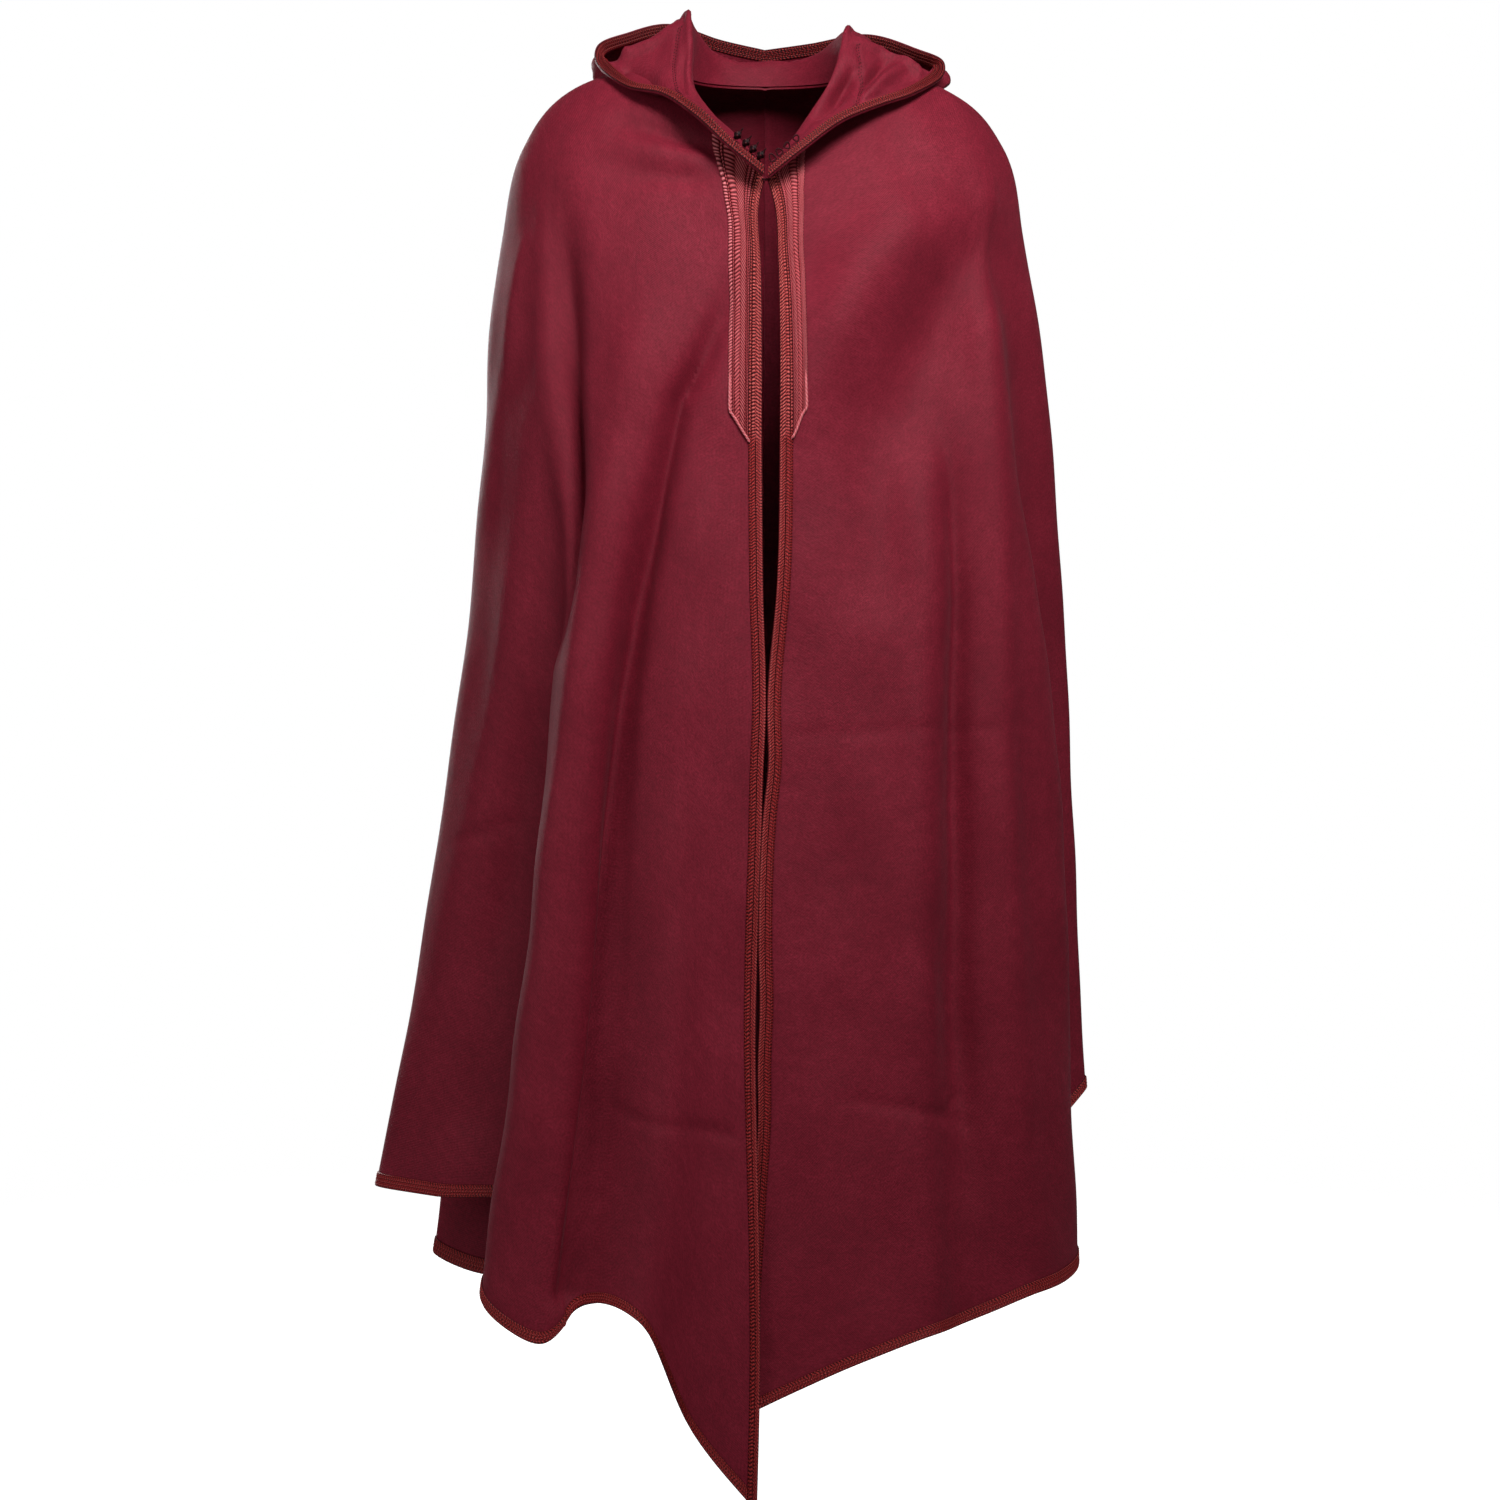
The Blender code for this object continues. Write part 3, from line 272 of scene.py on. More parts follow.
# Creases of the hood, in the same way, through places given as turn and share of the section.
HoodCrease = namedtuple("HoodCrease", "name side points")
HOOD_CREASES = [
    HoodCrease("crest_left", -1, [(87, 0.36, 0, 9), (87, 0.5, 4, 9), (87.5, 0.68, 9, 7),
        (88, 0.8, 9, 6), (89, 0.88, 0, 7)]),
    HoodCrease("tip_left", -1, [(70, 0.31, 0, 4.5), (80, 0.343, 4, 4.5), (90, 0.375, 9, 4.5),
        (96, 0.378, 9, 4.5), (104, 0.37, 4, 4.5), (112, 0.36, 0, 4.5)]),
    HoodCrease("tip_slope_left", -1, [(66, 0.3, 0, 14), (80, 0.343, -4, 14), (90, 0.375, -9, 15),
        (96, 0.378, -9, 15), (104, 0.37, -4, 15), (116, 0.36, 0, 14)]),
    HoodCrease("hollow_left", -1, [(100, 0.44, 0, 12), (102, 0.56, -12, 13), (103, 0.68, -20, 14),
        (103, 0.78, -20, 13), (102, 0.86, -10, 10), (101, 0.92, 0, 9)]),
    HoodCrease("tuck_left", -1, [(98, 0.88, 0, 4), (94, 0.83, 4, 4), (90, 0.8, 4, 4),
        (86, 0.86, 0, 4)]),
    HoodCrease("under_crest_left", -1, [(84, 0.9, 0, 8), (81, 0.86, -8, 9), (74, 0.81, -14, 11),
        (65, 0.82, -12, 10), (57, 0.88, 0, 8)]),
    HoodCrease("seam_left", -1, [(84, 0.42, 0, 3), (81.9, 0.441, -1.4, 3), (77.4, 0.458, -1.4, 3),
        (72.9, 0.495, -1.4, 3), (68.9, 0.522, -1.4, 3), (60.9, 0.582, -1.4, 3),
        (52.4, 0.8, 0, 3)]),
    HoodCrease("neck_fold_left", -1, [(74, 0.34, 0, 5), (65.8, 0.395, -4, 5),
        (61.3, 0.425, -6, 5), (55.1, 0.565, -4, 5), (50, 0.68, 0, 5)]),
    HoodCrease("crest_right", 1, [(74, 0.4, 0, 8), (80, 0.47, 3, 8), (85, 0.582, 7, 7),
        (85.4, 0.753, 10, 6), (84.5, 0.843, 9, 6), (84.1, 0.93, 0, 7)]),
    HoodCrease("tip_right", 1, [(68, 0.31, 0, 4.5), (77, 0.319, 4, 4.5), (86, 0.32, 9, 4.5),
        (92, 0.328, 9, 4.5), (100, 0.336, 4, 4.5), (108, 0.34, 0, 4.5)]),
    HoodCrease("tip_slope_right", 1, [(64, 0.31, 0, 14), (77, 0.319, -4, 14), (86, 0.32, -9, 15),
        (92, 0.328, -9, 15), (100, 0.336, -4, 15), (112, 0.34, 0, 14)]),
    HoodCrease("second_right", 1, [(86, 0.74, 0, 8), (81, 0.765, 8, 8), (70.7, 0.756, 12, 8),
        (60.9, 0.779, 8, 8), (54, 0.8, 0, 8)]),
    HoodCrease("hollow_right", 1, [(98, 0.48, 0, 12), (100, 0.6, -12, 13), (101, 0.7, -18, 14),
        (100, 0.8, -18, 13), (98, 0.88, -8, 10), (97, 0.94, 0, 9)]),
    HoodCrease("step_right", 1, [(84, 0.67, 0, 6), (76, 0.67, -10, 6), (69, 0.68, -13, 6),
        (62, 0.71, -8, 6), (57, 0.74, 0, 6)]),
    HoodCrease("valley_right", 1, [(68, 0.5, 0, 8), (60.9, 0.538, -14, 8), (51.5, 0.538, -15, 8),
        (41.7, 0.545, -9, 7), (36, 0.56, 0, 7)]),
    HoodCrease("seam_right", 1, [(76, 0.43, 0, 3), (72.9, 0.452, -1.4, 3), (68.9, 0.538, -1.4, 3),
        (64, 0.645, -1.4, 3), (55.5, 0.776, -1.4, 3), (50.2, 0.88, 0, 3)]),
    HoodCrease("back_dip_left", -1, [(120, 0.3, 0, 14), (135, 0.34, -7, 16), (150, 0.3, -8, 18),
        (165, 0.24, 0, 18)]),
    HoodCrease("back_dip_right", 1, [(118, 0.34, 0, 14), (132, 0.31, -7, 16), (147, 0.34, -6, 18),
        (163, 0.28, 0, 18)]),
    HoodCrease("rim_hollow_left", -1, [(92, 0.9, 0, 9), (102, 0.88, -16, 11),
        (118, 0.89, -22, 13), (132, 0.9, -22, 13), (146, 0.91, -16, 13), (158, 0.93, 0, 12)]),
    HoodCrease("rim_hollow_right", 1, [(90, 0.92, 0, 9), (100, 0.9, -16, 11),
        (116, 0.89, -22, 13), (130, 0.9, -22, 13), (144, 0.91, -16, 13), (156, 0.93, 0, 12)]),
    HoodCrease("pouch_fold_left", -1, [(130, 0.62, 0, 16), (146, 0.6, 6, 16), (160, 0.64, 7, 18),
        (172, 0.6, 0, 18)]),
    HoodCrease("pouch_fold_right", 1, [(128, 0.66, 0, 16), (143, 0.64, 6, 16), (158, 0.6, 6, 18),
        (171, 0.64, 0, 18)]),
]
HOOD_FADE = (0.013, 0.006)   # creases fade out this far from the hood's opening, over this length

# ---------------------------------------------------------------- curves and surfaces

def ease(value):
    """Go from 0 to 1 with level ends: 3v^2 - 2v^3."""
    value = np.clip(value, 0.0, 1.0)
    return value * value * (3 - 2 * value)


def unit(vectors):
    """The same directions, each 1 long."""
    return vectors / np.linalg.norm(vectors, axis=-1, keepdims=True)


def circle(count):
    """Angles spaced evenly round a circle."""
    return np.linspace(0.0, 2 * np.pi, count, endpoint=False)


def named(name, side):
    """Name of this side's piece."""
    return name + ("_left" if side < 0 else "_right")


def knot_slopes(knots, values):
    """Slopes at the knots: both neighbouring slopes, each weighed by the other's step."""
    step = np.diff(knots, axis=-1)[..., None]
    rise = np.diff(values, axis=-2) / step
    before, after = step[..., :-1, :], step[..., 1:, :]
    inner = (before * rise[..., 1:, :] + after * rise[..., :-1, :]) / (before + after)
    return np.concatenate([rise[..., :1, :], inner, rise[..., -1:, :]], axis=-2)


def hermite(start, end, start_rise, end_rise, part):
    """Cubic from start to end with these rises at its ends."""
    return ((1 + 2 * part) * (1 - part) ** 2 * start + part * (1 - part) ** 2 * start_rise
            + part ** 2 * (3 - 2 * part) * end + part ** 2 * (part - 1) * end_rise)


def smooth(knots, values, places):
    """Smooth curve through rows of values at the knots, read at the places."""
    knots, values, places = (np.asarray(rows, dtype=float) for rows in (knots, values, places))
    slopes = knot_slopes(knots, values)
    span = np.clip(np.searchsorted(knots, places, side="right") - 1, 0, len(knots) - 2)
    width = (knots[span + 1] - knots[span])[..., None]
    part = (places - knots[span])[..., None] / width
    return hermite(values[span], values[span + 1], slopes[span] * width,
                   slopes[span + 1] * width, part)


def curve_read(knots, points, slopes, row, places):
    """Points of the rows' smooth curves at places counted in knots."""
    span = np.minimum(places.astype(int), knots.shape[1] - 2)
    width = (knots[row, span + 1] - knots[row, span])[..., None]
    return hermite(points[row, span], points[row, span + 1], slopes[row, span] * width,
                   slopes[row, span + 1] * width, (places - span)[..., None])


def knots_of(points, power):
    """Knots spaced by a power of the distances between the points of each row."""
    steps = np.linalg.norm(np.diff(points, axis=-2), axis=-1) ** power
    return np.concatenate([np.zeros_like(steps[..., :1]), np.cumsum(steps, axis=-1)], axis=-1)


def row_read(places, knots, values):
    """Read the values of each row, given at rising knots, at places of the same row."""
    shift = np.arange(len(knots))[:, None] * (knots.max() + 1.0)
    flat = np.clip(places, knots[:, :1], knots[:, -1:]) + shift
    return np.interp(flat.ravel(), (knots + shift).ravel(), values.ravel()).reshape(places.shape)


def read_columns(places, knots, table):
    """Read every column of a table, whose rows lie at rising knots, at these places."""
    return np.stack([np.interp(places, knots, column) for column in table.T], axis=1)


def normals_of(grid):
    """Unit normals of a grid of points, across its columns and down its rows."""
    return unit(np.cross(np.gradient(grid, axis=1), np.gradient(grid, axis=0)))


def lengths_along(grid, axis):
    """Distance of each point of a grid from the first one along this axis."""
    steps = np.linalg.norm(np.diff(grid, axis=axis), axis=2)
    start = np.zeros_like(np.take(steps, [0], axis=axis))
    return np.concatenate([start, np.cumsum(steps, axis=axis)], axis=axis)


# ---------------------------------------------------------------- the body

SLOPE_STEPS = (0.01, 0.0015)     # steps in fold places and in shares that slopes are taken over
WAVES_FULL = 0.12                # share of the length from which the soft waves are full
# Slow waves of the cloth: height in mm, turns in radians for each metre of x, y and z, and start.
WAVES = ((0.9, 52, 20, 8, 0.3), (0.8, 31, 47, -11, 1.9), (0.5, 83, 38, 21, 4.0),
         (0.6, 22, 66, 29, 2.6), (0.4, 47, -34, -43, 5.2))
TABLE_ROWS, TABLE_PLACES = 280, 60   # rows and places at which distances from an edge are measured


def ring_sizes(shares):
    """Sizes of the rows at these shares, as columns, from z_front on."""
    return smooth([ring.share for ring in RINGS], [ring[2:] for ring in RINGS], shares).T[..., None]


def row_height(sizes, shares, turn):
    """Height of a row at a turn: from its side to its front or back by a power of the cosine."""
    power = NECK_DIP_POWER + (ROW_DIP_POWER - NECK_DIP_POWER) * ease(shares / DIP_CHANGE_END)
    forward = np.cos(np.radians(turn))
    z_front, z_side, z_back = sizes[:3]
    return z_side + (np.where(forward > 0, z_front, z_back) - z_side) * np.abs(forward) ** power


def fold_points(side, shares):
    """Points of one side's folds on the rows at these shares (rows, folds, xyz)."""
    folds = LEFT_FOLDS if side < 0 else RIGHT_FOLDS
    neck, chest, hem, reach, start, hem_z = np.array([fold[1:] for fold in folds]).T
    sizes = ring_sizes(shares)
    half_width = sizes[3] if side < 0 else sizes[4]
    turn = smooth(FOLD_TURN_SHARES, [neck, chest, hem, hem], shares)
    edges = smooth([-edge.height for edge in EDGES], [edge[1:] for edge in EDGES], -sizes[0][:, 0])
    edge_x, edge_out = (edges[:, 0], edges[:, 2]) if side < 0 else (edges[:, 1], edges[:, 3])
    turn[:, 0] = np.degrees(np.arcsin(edge_x * side / half_width[:, 0]))
    out = np.zeros_like(turn)
    out[:, 0] = edge_out
    down = shares[:, None]
    radius = 1 + (reach - 1) * ease((down - start) / (1 - start)) ** FOLD_GROWTH_POWER
    angle = np.radians(turn)
    depth = np.where(np.cos(angle) > 0, sizes[5], sizes[6])
    hem_change = hem_z - row_height(ring_sizes(np.ones(1)), np.ones((1, 1)), turn)
    height = row_height(sizes, down, turn) + hem_change * down ** HEM_CHANGE_POWER
    return np.stack([side * half_width * radius * np.sin(angle),
                     -depth * radius * np.cos(angle) - out, height], axis=2)


def base(shares, places):
    """Points of the body's middle surface at shares of the length and fold places, before creases.

    Each row is a smooth curve through its folds, whose knots lie at a power of their distances.
    """
    rows, row = np.unique(np.clip(shares, 0.0, 1.0), return_inverse=True)
    points = np.concatenate([fold_points(-1, rows), fold_points(1, rows)[:, -2::-1]], axis=1)
    knots = knots_of(points, ROW_KNOT_POWER)
    return curve_read(knots, points, knot_slopes(knots, points), row.reshape(np.shape(shares)),
                      np.clip(places, 0.0, LAST))


def base_normals(shares, places):
    """Unit normals of the middle surface, outward, by differences across and down."""
    over, under = SLOPE_STEPS
    across = base(shares, places + over) - base(shares, places - over)
    down = base(shares + under, places) - base(shares - under, places)
    return unit(np.cross(across, down))


def crease_height(points, line, wide=1.0):
    """Height of a crease at points of the plane or of space: depth * exp(-(distance / width)^2).

    The line's rows are a point, a depth and a width in mm, and the nearest stretch of it counts.
    """
    line = np.array(line, dtype=float)
    size = points.shape[-1]
    nearest = np.full(points.shape[:-1], np.inf)
    height = np.zeros(points.shape[:-1])
    for here, there in zip(line, line[1:]):
        run = there[:size] - here[:size]
        from_here = points - here[:size]
        part = np.clip(from_here @ run / (run @ run), 0.0, 1.0)
        away = from_here - part[..., None] * run
        far = np.linalg.norm(away, axis=-1)
        depth, width = (here[at] + (there[at] - here[at]) * part for at in (size, size + 1))
        if wide != 1.0:
            rightward = run[0] * away[..., 1] - run[1] * away[..., 0] > 0
            width = width * np.where(rightward, wide, 1.0)
        closer = far < nearest
        nearest = np.where(closer, far, nearest)
        height = np.where(closer, depth * np.exp(-(far / width) ** 2), height)
    return height


def soft_waves(points):
    """Slight unevenness of hanging cloth: slow slanting waves through space."""
    height = 0.0
    for size, *turns, start in WAVES:
        height = height + size * np.sin(points @ turns + start)
    return height * MM


def worn(shares, places):
    """Points of the body's middle surface with its creases."""
    points = base(shares, places)
    height = soft_waves(points) * ease(shares / WAVES_FULL)
    flat = points[..., [0, 2]] / MM
    for crease in CREASES:
        within = ease(places - crease.first + 0.5) * ease(crease.last + 0.5 - places)
        height = height + within * crease_height(flat, crease.points, crease.wide) * MM
    return points + base_normals(shares, places) * height[..., None]


def edge_places(side, shares, distances):
    """Fold places at these distances from one front edge, along the rows at these shares.

    The lengths are measured on the table's rows, and read between the two nearest to each share.
    """
    fine = np.linspace(0.0, 1.0, TABLE_PLACES)
    rows = np.linspace(0.0, 1.0, TABLE_ROWS)
    grid = worn(*np.meshgrid(rows, fine if side < 0 else LAST - fine, indexing="ij"))
    lengths = lengths_along(grid, 1)
    table = np.repeat(fine[None], len(rows), axis=0)
    place = np.clip(shares, 0.0, 1.0) * (len(rows) - 1)
    above = np.minimum(place.astype(int), len(rows) - 2)
    apart = lengths.max() + 1.0
    flat = (lengths + np.arange(len(rows))[:, None] * apart).ravel()
    upper, lower = (np.interp(np.minimum(distances, lengths[row, -1]) + row * apart, flat,
                              table.ravel()) for row in (above, above + 1))
    found = upper + (lower - upper) * (place - above)
    return found if side < 0 else LAST - found


# ---------------------------------------------------------------- meshes

CLOTH_SHARP, ROUND_SHARP = 50, 180   # degrees: sharper edges than this are shaded as edges


def put(name, data):
    """Put an object into the scene."""
    thing = bpy.data.objects.new(name, data)
    bpy.context.scene.collection.objects.link(thing)
    return thing


def quads_of(rows, columns, first=0):
    """Faces of a grid of points, turned the way that its normals point."""
    start = first + (np.arange(rows - 1)[:, None] * columns + np.arange(columns - 1)).ravel()
    return np.stack([start, start + 1, start + columns + 1, start + columns], axis=1)


def joined(*corners):
    """Faces, from rows of their corners."""
    return np.stack(np.broadcast_arrays(*corners), axis=-1).reshape(-1, len(corners)).tolist()


def build(name, vertices, faces, uv, material, marks, sharp):
    """Make a smooth mesh that rides on the cloak, with a UV map and marks for each vertex."""
    mesh = bpy.data.meshes.new(name)
    mesh.from_pydata(vertices.tolist(), [], faces)
    corners = np.empty(len(mesh.loops), dtype=np.int32)
    mesh.loops.foreach_get("vertex_index", corners)
    layer = mesh.uv_layers.new(name="cloth")
    layer.uv.foreach_set("vector", uv[corners].astype(np.float32).ravel())
    for key, values in marks.items():
        mark = mesh.attributes.new(key, "FLOAT", "POINT")
        mark.data.foreach_set("value", values.astype(np.float32))
    mesh.polygons.foreach_set("use_smooth", np.ones(len(mesh.polygons), dtype=bool))
    mesh.set_sharp_from_angle(angle=np.radians(sharp))
    mesh.materials.append(material)
    mesh.update()
    thing = put(name, mesh)
    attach(thing, "root")
    return thing


def shell(name, outer, inner, uv, material, keep=1, marks=None):
    """Close the space between an outer grid and an inner one, which keeps some of the columns."""
    rows, columns = outer.shape[:2]
    kept = np.unique(np.append(np.arange(0, columns, keep), columns - 1))
    count, width = rows * columns, len(kept)
    vertices = np.concatenate([outer.reshape(-1, 3), inner[:, kept].reshape(-1, 3)])
    both = np.concatenate([uv.reshape(-1, 2), uv[:, kept].reshape(-1, 2)])
    marks = {key: np.concatenate([values.ravel(), values[:, kept].ravel()])
             for key, values in (marks or {}).items()}
    first = np.arange(rows) * columns
    first_under = count + np.arange(rows) * width
    last, last_under = first + columns - 1, first_under + width - 1
    faces = quads_of(rows, columns).tolist() + quads_of(rows, width, count)[:, ::-1].tolist()
    faces += joined(first[1:], first_under[1:], first_under[:-1], first[:-1])
    faces += joined(last[:-1], last_under[:-1], last_under[1:], last[1:])
    head, foot = np.arange(columns), (rows - 1) * columns + np.arange(columns)
    head_under, foot_under = count + np.arange(width), count + (rows - 1) * width + np.arange(width)
    if keep == 1:
        faces += joined(head[1:], head[:-1], head_under[:-1], head_under[1:])
        faces += joined(foot[:-1], foot[1:], foot_under[1:], foot_under[:-1])
    else:
        faces += [[*head[::-1].tolist(), *head_under.tolist()],
                  [*foot.tolist(), *foot_under[::-1].tolist()]]
    return build(name, vertices, faces, both, material, marks, CLOTH_SHARP)


# ---------------------------------------------------------------- materials

BAND = 0.3142                # distance in m between a wave texture's bands at scale 1


def linear(code):
    """Linear colour of an sRGB hex value."""
    parts = np.array([int(code[i:i + 2], 16) for i in (0, 2, 4)]) / 255
    parts = np.where(parts <= 0.04045, parts / 12.92, ((parts + 0.055) / 1.055) ** 2.4)
    return (*parts, 1.0)


def fill(tree, new, sockets):
    """Give a node's sockets their values, or the outputs that they take."""
    for key, value in dict(sockets).items():
        if isinstance(value, bpy.types.NodeSocket):
            tree.links.new(value, new.inputs[key])
        else:
            new.inputs[key].default_value = value


def node(tree, kind, sockets=(), **settings):
    """Add a node with these properties and sockets."""
    new = tree.nodes.new(kind)
    for key, value in settings.items():
        setattr(new, key, value)
    fill(tree, new, sockets)
    return new


def start_material(name, kind="UV"):
    """A new material with its shader, its output and the places on its pieces, in metres."""
    made = bpy.data.materials.new(name)
    made.use_nodes = True
    tree = made.node_tree
    place = node(tree, "ShaderNodeTexCoord").outputs[kind]
    return made, tree, tree.nodes["Principled BSDF"], place


def noise(tree, place, scale, detail, roughness=0.5):
    """Soft noise, its scale in spots for each metre."""
    return node(tree, "ShaderNodeTexNoise", {"Vector": place, "Scale": scale, "Detail": detail,
                                             "Roughness": roughness}).outputs["Fac"]


def carried(tree, name):
    """A value that the meshes carry at their vertices."""
    return node(tree, "ShaderNodeAttribute", attribute_name=name).outputs["Fac"]


def ramp(tree, value, *stops):
    """Colour from a value: each stop is a place and a hex colour."""
    new = node(tree, "ShaderNodeValToRGB", {"Fac": value})
    steps = new.color_ramp.elements
    while len(steps) < len(stops):
        steps.new(0.5)
    for step, (place, code) in zip(steps, stops):
        step.position = place
        step.color = linear(code)
    return new.outputs["Color"]


def maths(tree, operation, *values):
    """One arithmetic step."""
    return node(tree, "ShaderNodeMath", enumerate(values), operation=operation).outputs["Value"]


def weighed(tree, *pairs):
    """Sum of values, each times its weight."""
    total, *others = (maths(tree, "MULTIPLY", value, weight) for value, weight in pairs)
    for value in others:
        total = maths(tree, "ADD", total, value)
    return total


def blend_colours(tree, share, first, second):
    """Mix two colours by a share."""
    return node(tree, "ShaderNodeMix", {0: share, 6: first, 7: second},
                data_type="RGBA", blend_type="MIX").outputs[2]


def bumped(tree, height, strength, distance):
    """Normal of a fine relief."""
    return node(tree, "ShaderNodeBump", {"Height": height, "Strength": strength,
                                         "Distance": distance}).outputs["Normal"]


def fulled_wool():
    """Fulled wool broadcloth, woven, milled and brushed: matt, with a soft nap that lightens
    towards grazing view, faintly mottled where it lies differently, its threads just felt."""
    made, tree, shader, place = start_material("fulled_wool_broadcloth")
    broad = noise(tree, place, 9.0, 3.0, 0.55)
    cloud = noise(tree, place, 70.0, 4.0, 0.6)
    # flecks of 2.5 mm, about three times as coarse as the nap's own so that they show
    grain = noise(tree, place, 400.0, 3.0, 0.7)
    # threads 1.4 mm apart, drawn about twice as coarse as woven so that they show
    threads = {"Vector": place, "Scale": BAND / 0.0014, "Distortion": 1.2, "Detail": 1.0,
               "Detail Scale": 1.5}
    warp, weft = (node(tree, "ShaderNodeTexWave", threads, wave_type="BANDS",
                       bands_direction=way).outputs["Fac"] for way in "XY")
    weave = maths(tree, "MULTIPLY", warp, weft)
    mottle = weighed(tree, (broad, 0.5), (cloud, 0.5))
    colour = ramp(tree, mottle, (0.32, "6c1123"), (0.5, "7b1629"), (0.68, "8a1e32"))
    fleck = node(tree, "ShaderNodeMapRange", {"Value": grain, "From Min": 0.40,
                                              "From Max": 0.62}).outputs["Result"]
    for part, weight, code in ((fleck, 0.55, "4a0712"), (weave, 0.30, "aa3e54")):
        colour = blend_colours(tree, maths(tree, "MULTIPLY", part, weight), colour, linear(code))
    height = weighed(tree, (weave, 0.5), (grain, 0.9), (cloud, 1.3))
    fill(tree, shader, {"Base Color": colour, "Normal": bumped(tree, height, 0.55, 0.0006),
                        "Roughness": 0.62, "Specular IOR Level": 0.15, "Sheen Weight": 0.06,
                        "Sheen Roughness": 0.35, "Sheen Tint": linear("e7a3b0")})
    return made


def plaited_braid(name, ground, yarn, light, rose, pale):
    """Braid of plaited and chain-stitched rayon and wool yarn, a little glossy: painted shade
    between its stitches, a painted highlight on their crowns, some cords of a paler yarn that has
    worn unevenly."""
    made, tree, shader, place = start_material(name)
    # painted shade and painted highlight of the stitches and cords, carried by the meshes
    painted_shading = carried(tree, "painted_shading")
    # single fibres would be 0.05 mm, drawn as grain of 1 mm so that it shows
    grain = noise(tree, place, 1000.0, 2.0)
    patch = noise(tree, place, 60.0, 3.0)
    value = maths(tree, "MULTIPLY", painted_shading, maths(tree, "MULTIPLY_ADD", grain, 0.9, 0.5))
    # the darkest stop is painted shade between stitches and cords, the lightest a painted highlight
    # on crowns
    red = ramp(tree, value, (0.05, ground), (0.45, yarn), (1.0, light))
    paler = ramp(tree, value, (0.05, ground), (0.5, rose), (1.0, pale))
    share = maths(tree, "MULTIPLY", carried(tree, "pale"),
                  maths(tree, "MULTIPLY_ADD", patch, 1.1, 0.35))
    height = maths(tree, "ADD", painted_shading, maths(tree, "MULTIPLY", grain, 0.7))
    fill(tree, shader, {"Base Color": blend_colours(tree, share, red, paler),
                        "Normal": bumped(tree, height, 0.5, 0.0004),
                        "Roughness": 0.6, "Specular IOR Level": 0.2})
    return made


def twisted_cord():
    """Twisted silk cord, a brown that is almost black: it shines softly along its strands, with
    painted shade between them and a painted highlight on their crowns.
    """
    made, tree, shader, place = start_material("twisted_dark_silk")
    # single fibres would be 0.02 mm, drawn as grain of 0.7 mm so that it shows
    grain = noise(tree, place, 1500.0, 2.0)
    # painted shade and painted highlight carried by the meshes, times a fine grain
    value = maths(tree, "MULTIPLY", carried(tree, "painted_shading"),
                  maths(tree, "MULTIPLY_ADD", grain, 0.8, 0.5))
    colour = ramp(tree, value, (0.1, "160407"), (0.6, "380c13"), (1.0, "6a262c"))
    fill(tree, shader, {"Base Color": colour, "Normal": bumped(tree, value, 0.4, 0.0002),
                        "Roughness": 0.5, "Specular IOR Level": 0.12})
    return made


WOOL = fulled_wool()
RED_BRAID = plaited_braid("plaited_red_rayon_braid",
                          "30040a", "8a141a", "b43430", "b44042", "dc786e")
RIM_BRAID = plaited_braid("plaited_deep_red_rayon_braid",
                          "220308", "6e0f15", "9c2829", "aa4242", "d07468")
ROSE_BRAID = plaited_braid("chain_stitched_rose_braid",
                           "4c0810", "a42c34", "ca585c", "c8565e", "e69498")
DARK_CORD = twisted_cord()


# ---------------------------------------------------------------- the body's pieces

BODY_ROWS = 190
BODY_COLUMNS = {-1: (21, 12), 1: (21, 13)}   # columns for each fold, in front and further back
FRONT_FOLDS = 5.5                            # folds that count as in front


def make_body(side):
    """One half of the body, from its front edge to the middle of the back."""
    near, far = BODY_COLUMNS[side]
    front = 0 if side < 0 else LAST
    change = front - side * FRONT_FOLDS
    places = np.concatenate([
        np.linspace(front, change, round(FRONT_FOLDS * near), endpoint=False),
        np.linspace(change, MIDDLE, round(abs(MIDDLE - change) * far) + 1)])
    shares, places = np.meshgrid(np.linspace(0.0, 1.0, BODY_ROWS), places[::-side], indexing="ij")
    grid = worn(shares, places)
    half = normals_of(grid) * CLOTH / 2
    uv = np.stack([lengths_along(grid, 1), shares * CLOTH_LENGTH], axis=2)
    name = named("body", side)
    thing = shell("wool_" + name, grid + half, grid - half, uv, WOOL)
    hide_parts(name)
    return thing


# The cords of a braid, side by side.  start, end: where each lies across the braid, in mm or in
# shares of its width.  slant: how far its stitches run back, for each step across.  pitch: distance
# between its stitches, mm.  raise_: height of its crown, mm.  pale: how light its yarn is.
Cord = namedtuple("Cord", "start end slant pitch raise_ pale")
NARROW_CORDS = [
    Cord(0.1, 1.2, 0.0, 1.9, 0.9, 0.25),
    Cord(1.2, 2.4, 0.8, 1.9, 1.4, 0.75),
    Cord(2.5, 5.6, 0.9, 2.3, 1.3, 0.10),
    Cord(5.5, 6.6, -0.6, 1.8, 1.5, 0.85),
    Cord(6.7, 7.8, 0.6, 1.8, 1.4, 0.55),
    Cord(7.8, 11.2, -0.9, 2.3, 1.3, 0.05),
    Cord(11.2, 12.4, 0.6, 1.9, 1.5, 0.90),
    Cord(12.5, 13.9, -0.5, 2.1, 0.9, 0.10),
]
NARROW_TOP_CORDS = [
    Cord(0.1, 2.3, 0.5, 2.5, 1.3, 1.00),
    Cord(2.3, 6.2, 0.45, 2.5, 1.4, 0.85),
    Cord(6.2, 7.2, -0.6, 1.9, 1.5, 1.00),
    Cord(7.2, 11.0, -0.5, 2.5, 1.4, 0.80),
    Cord(11.1, 12.2, 0.6, 1.9, 1.5, 1.00),
    Cord(12.3, 13.9, -0.5, 2.5, 1.1, 0.80),
]
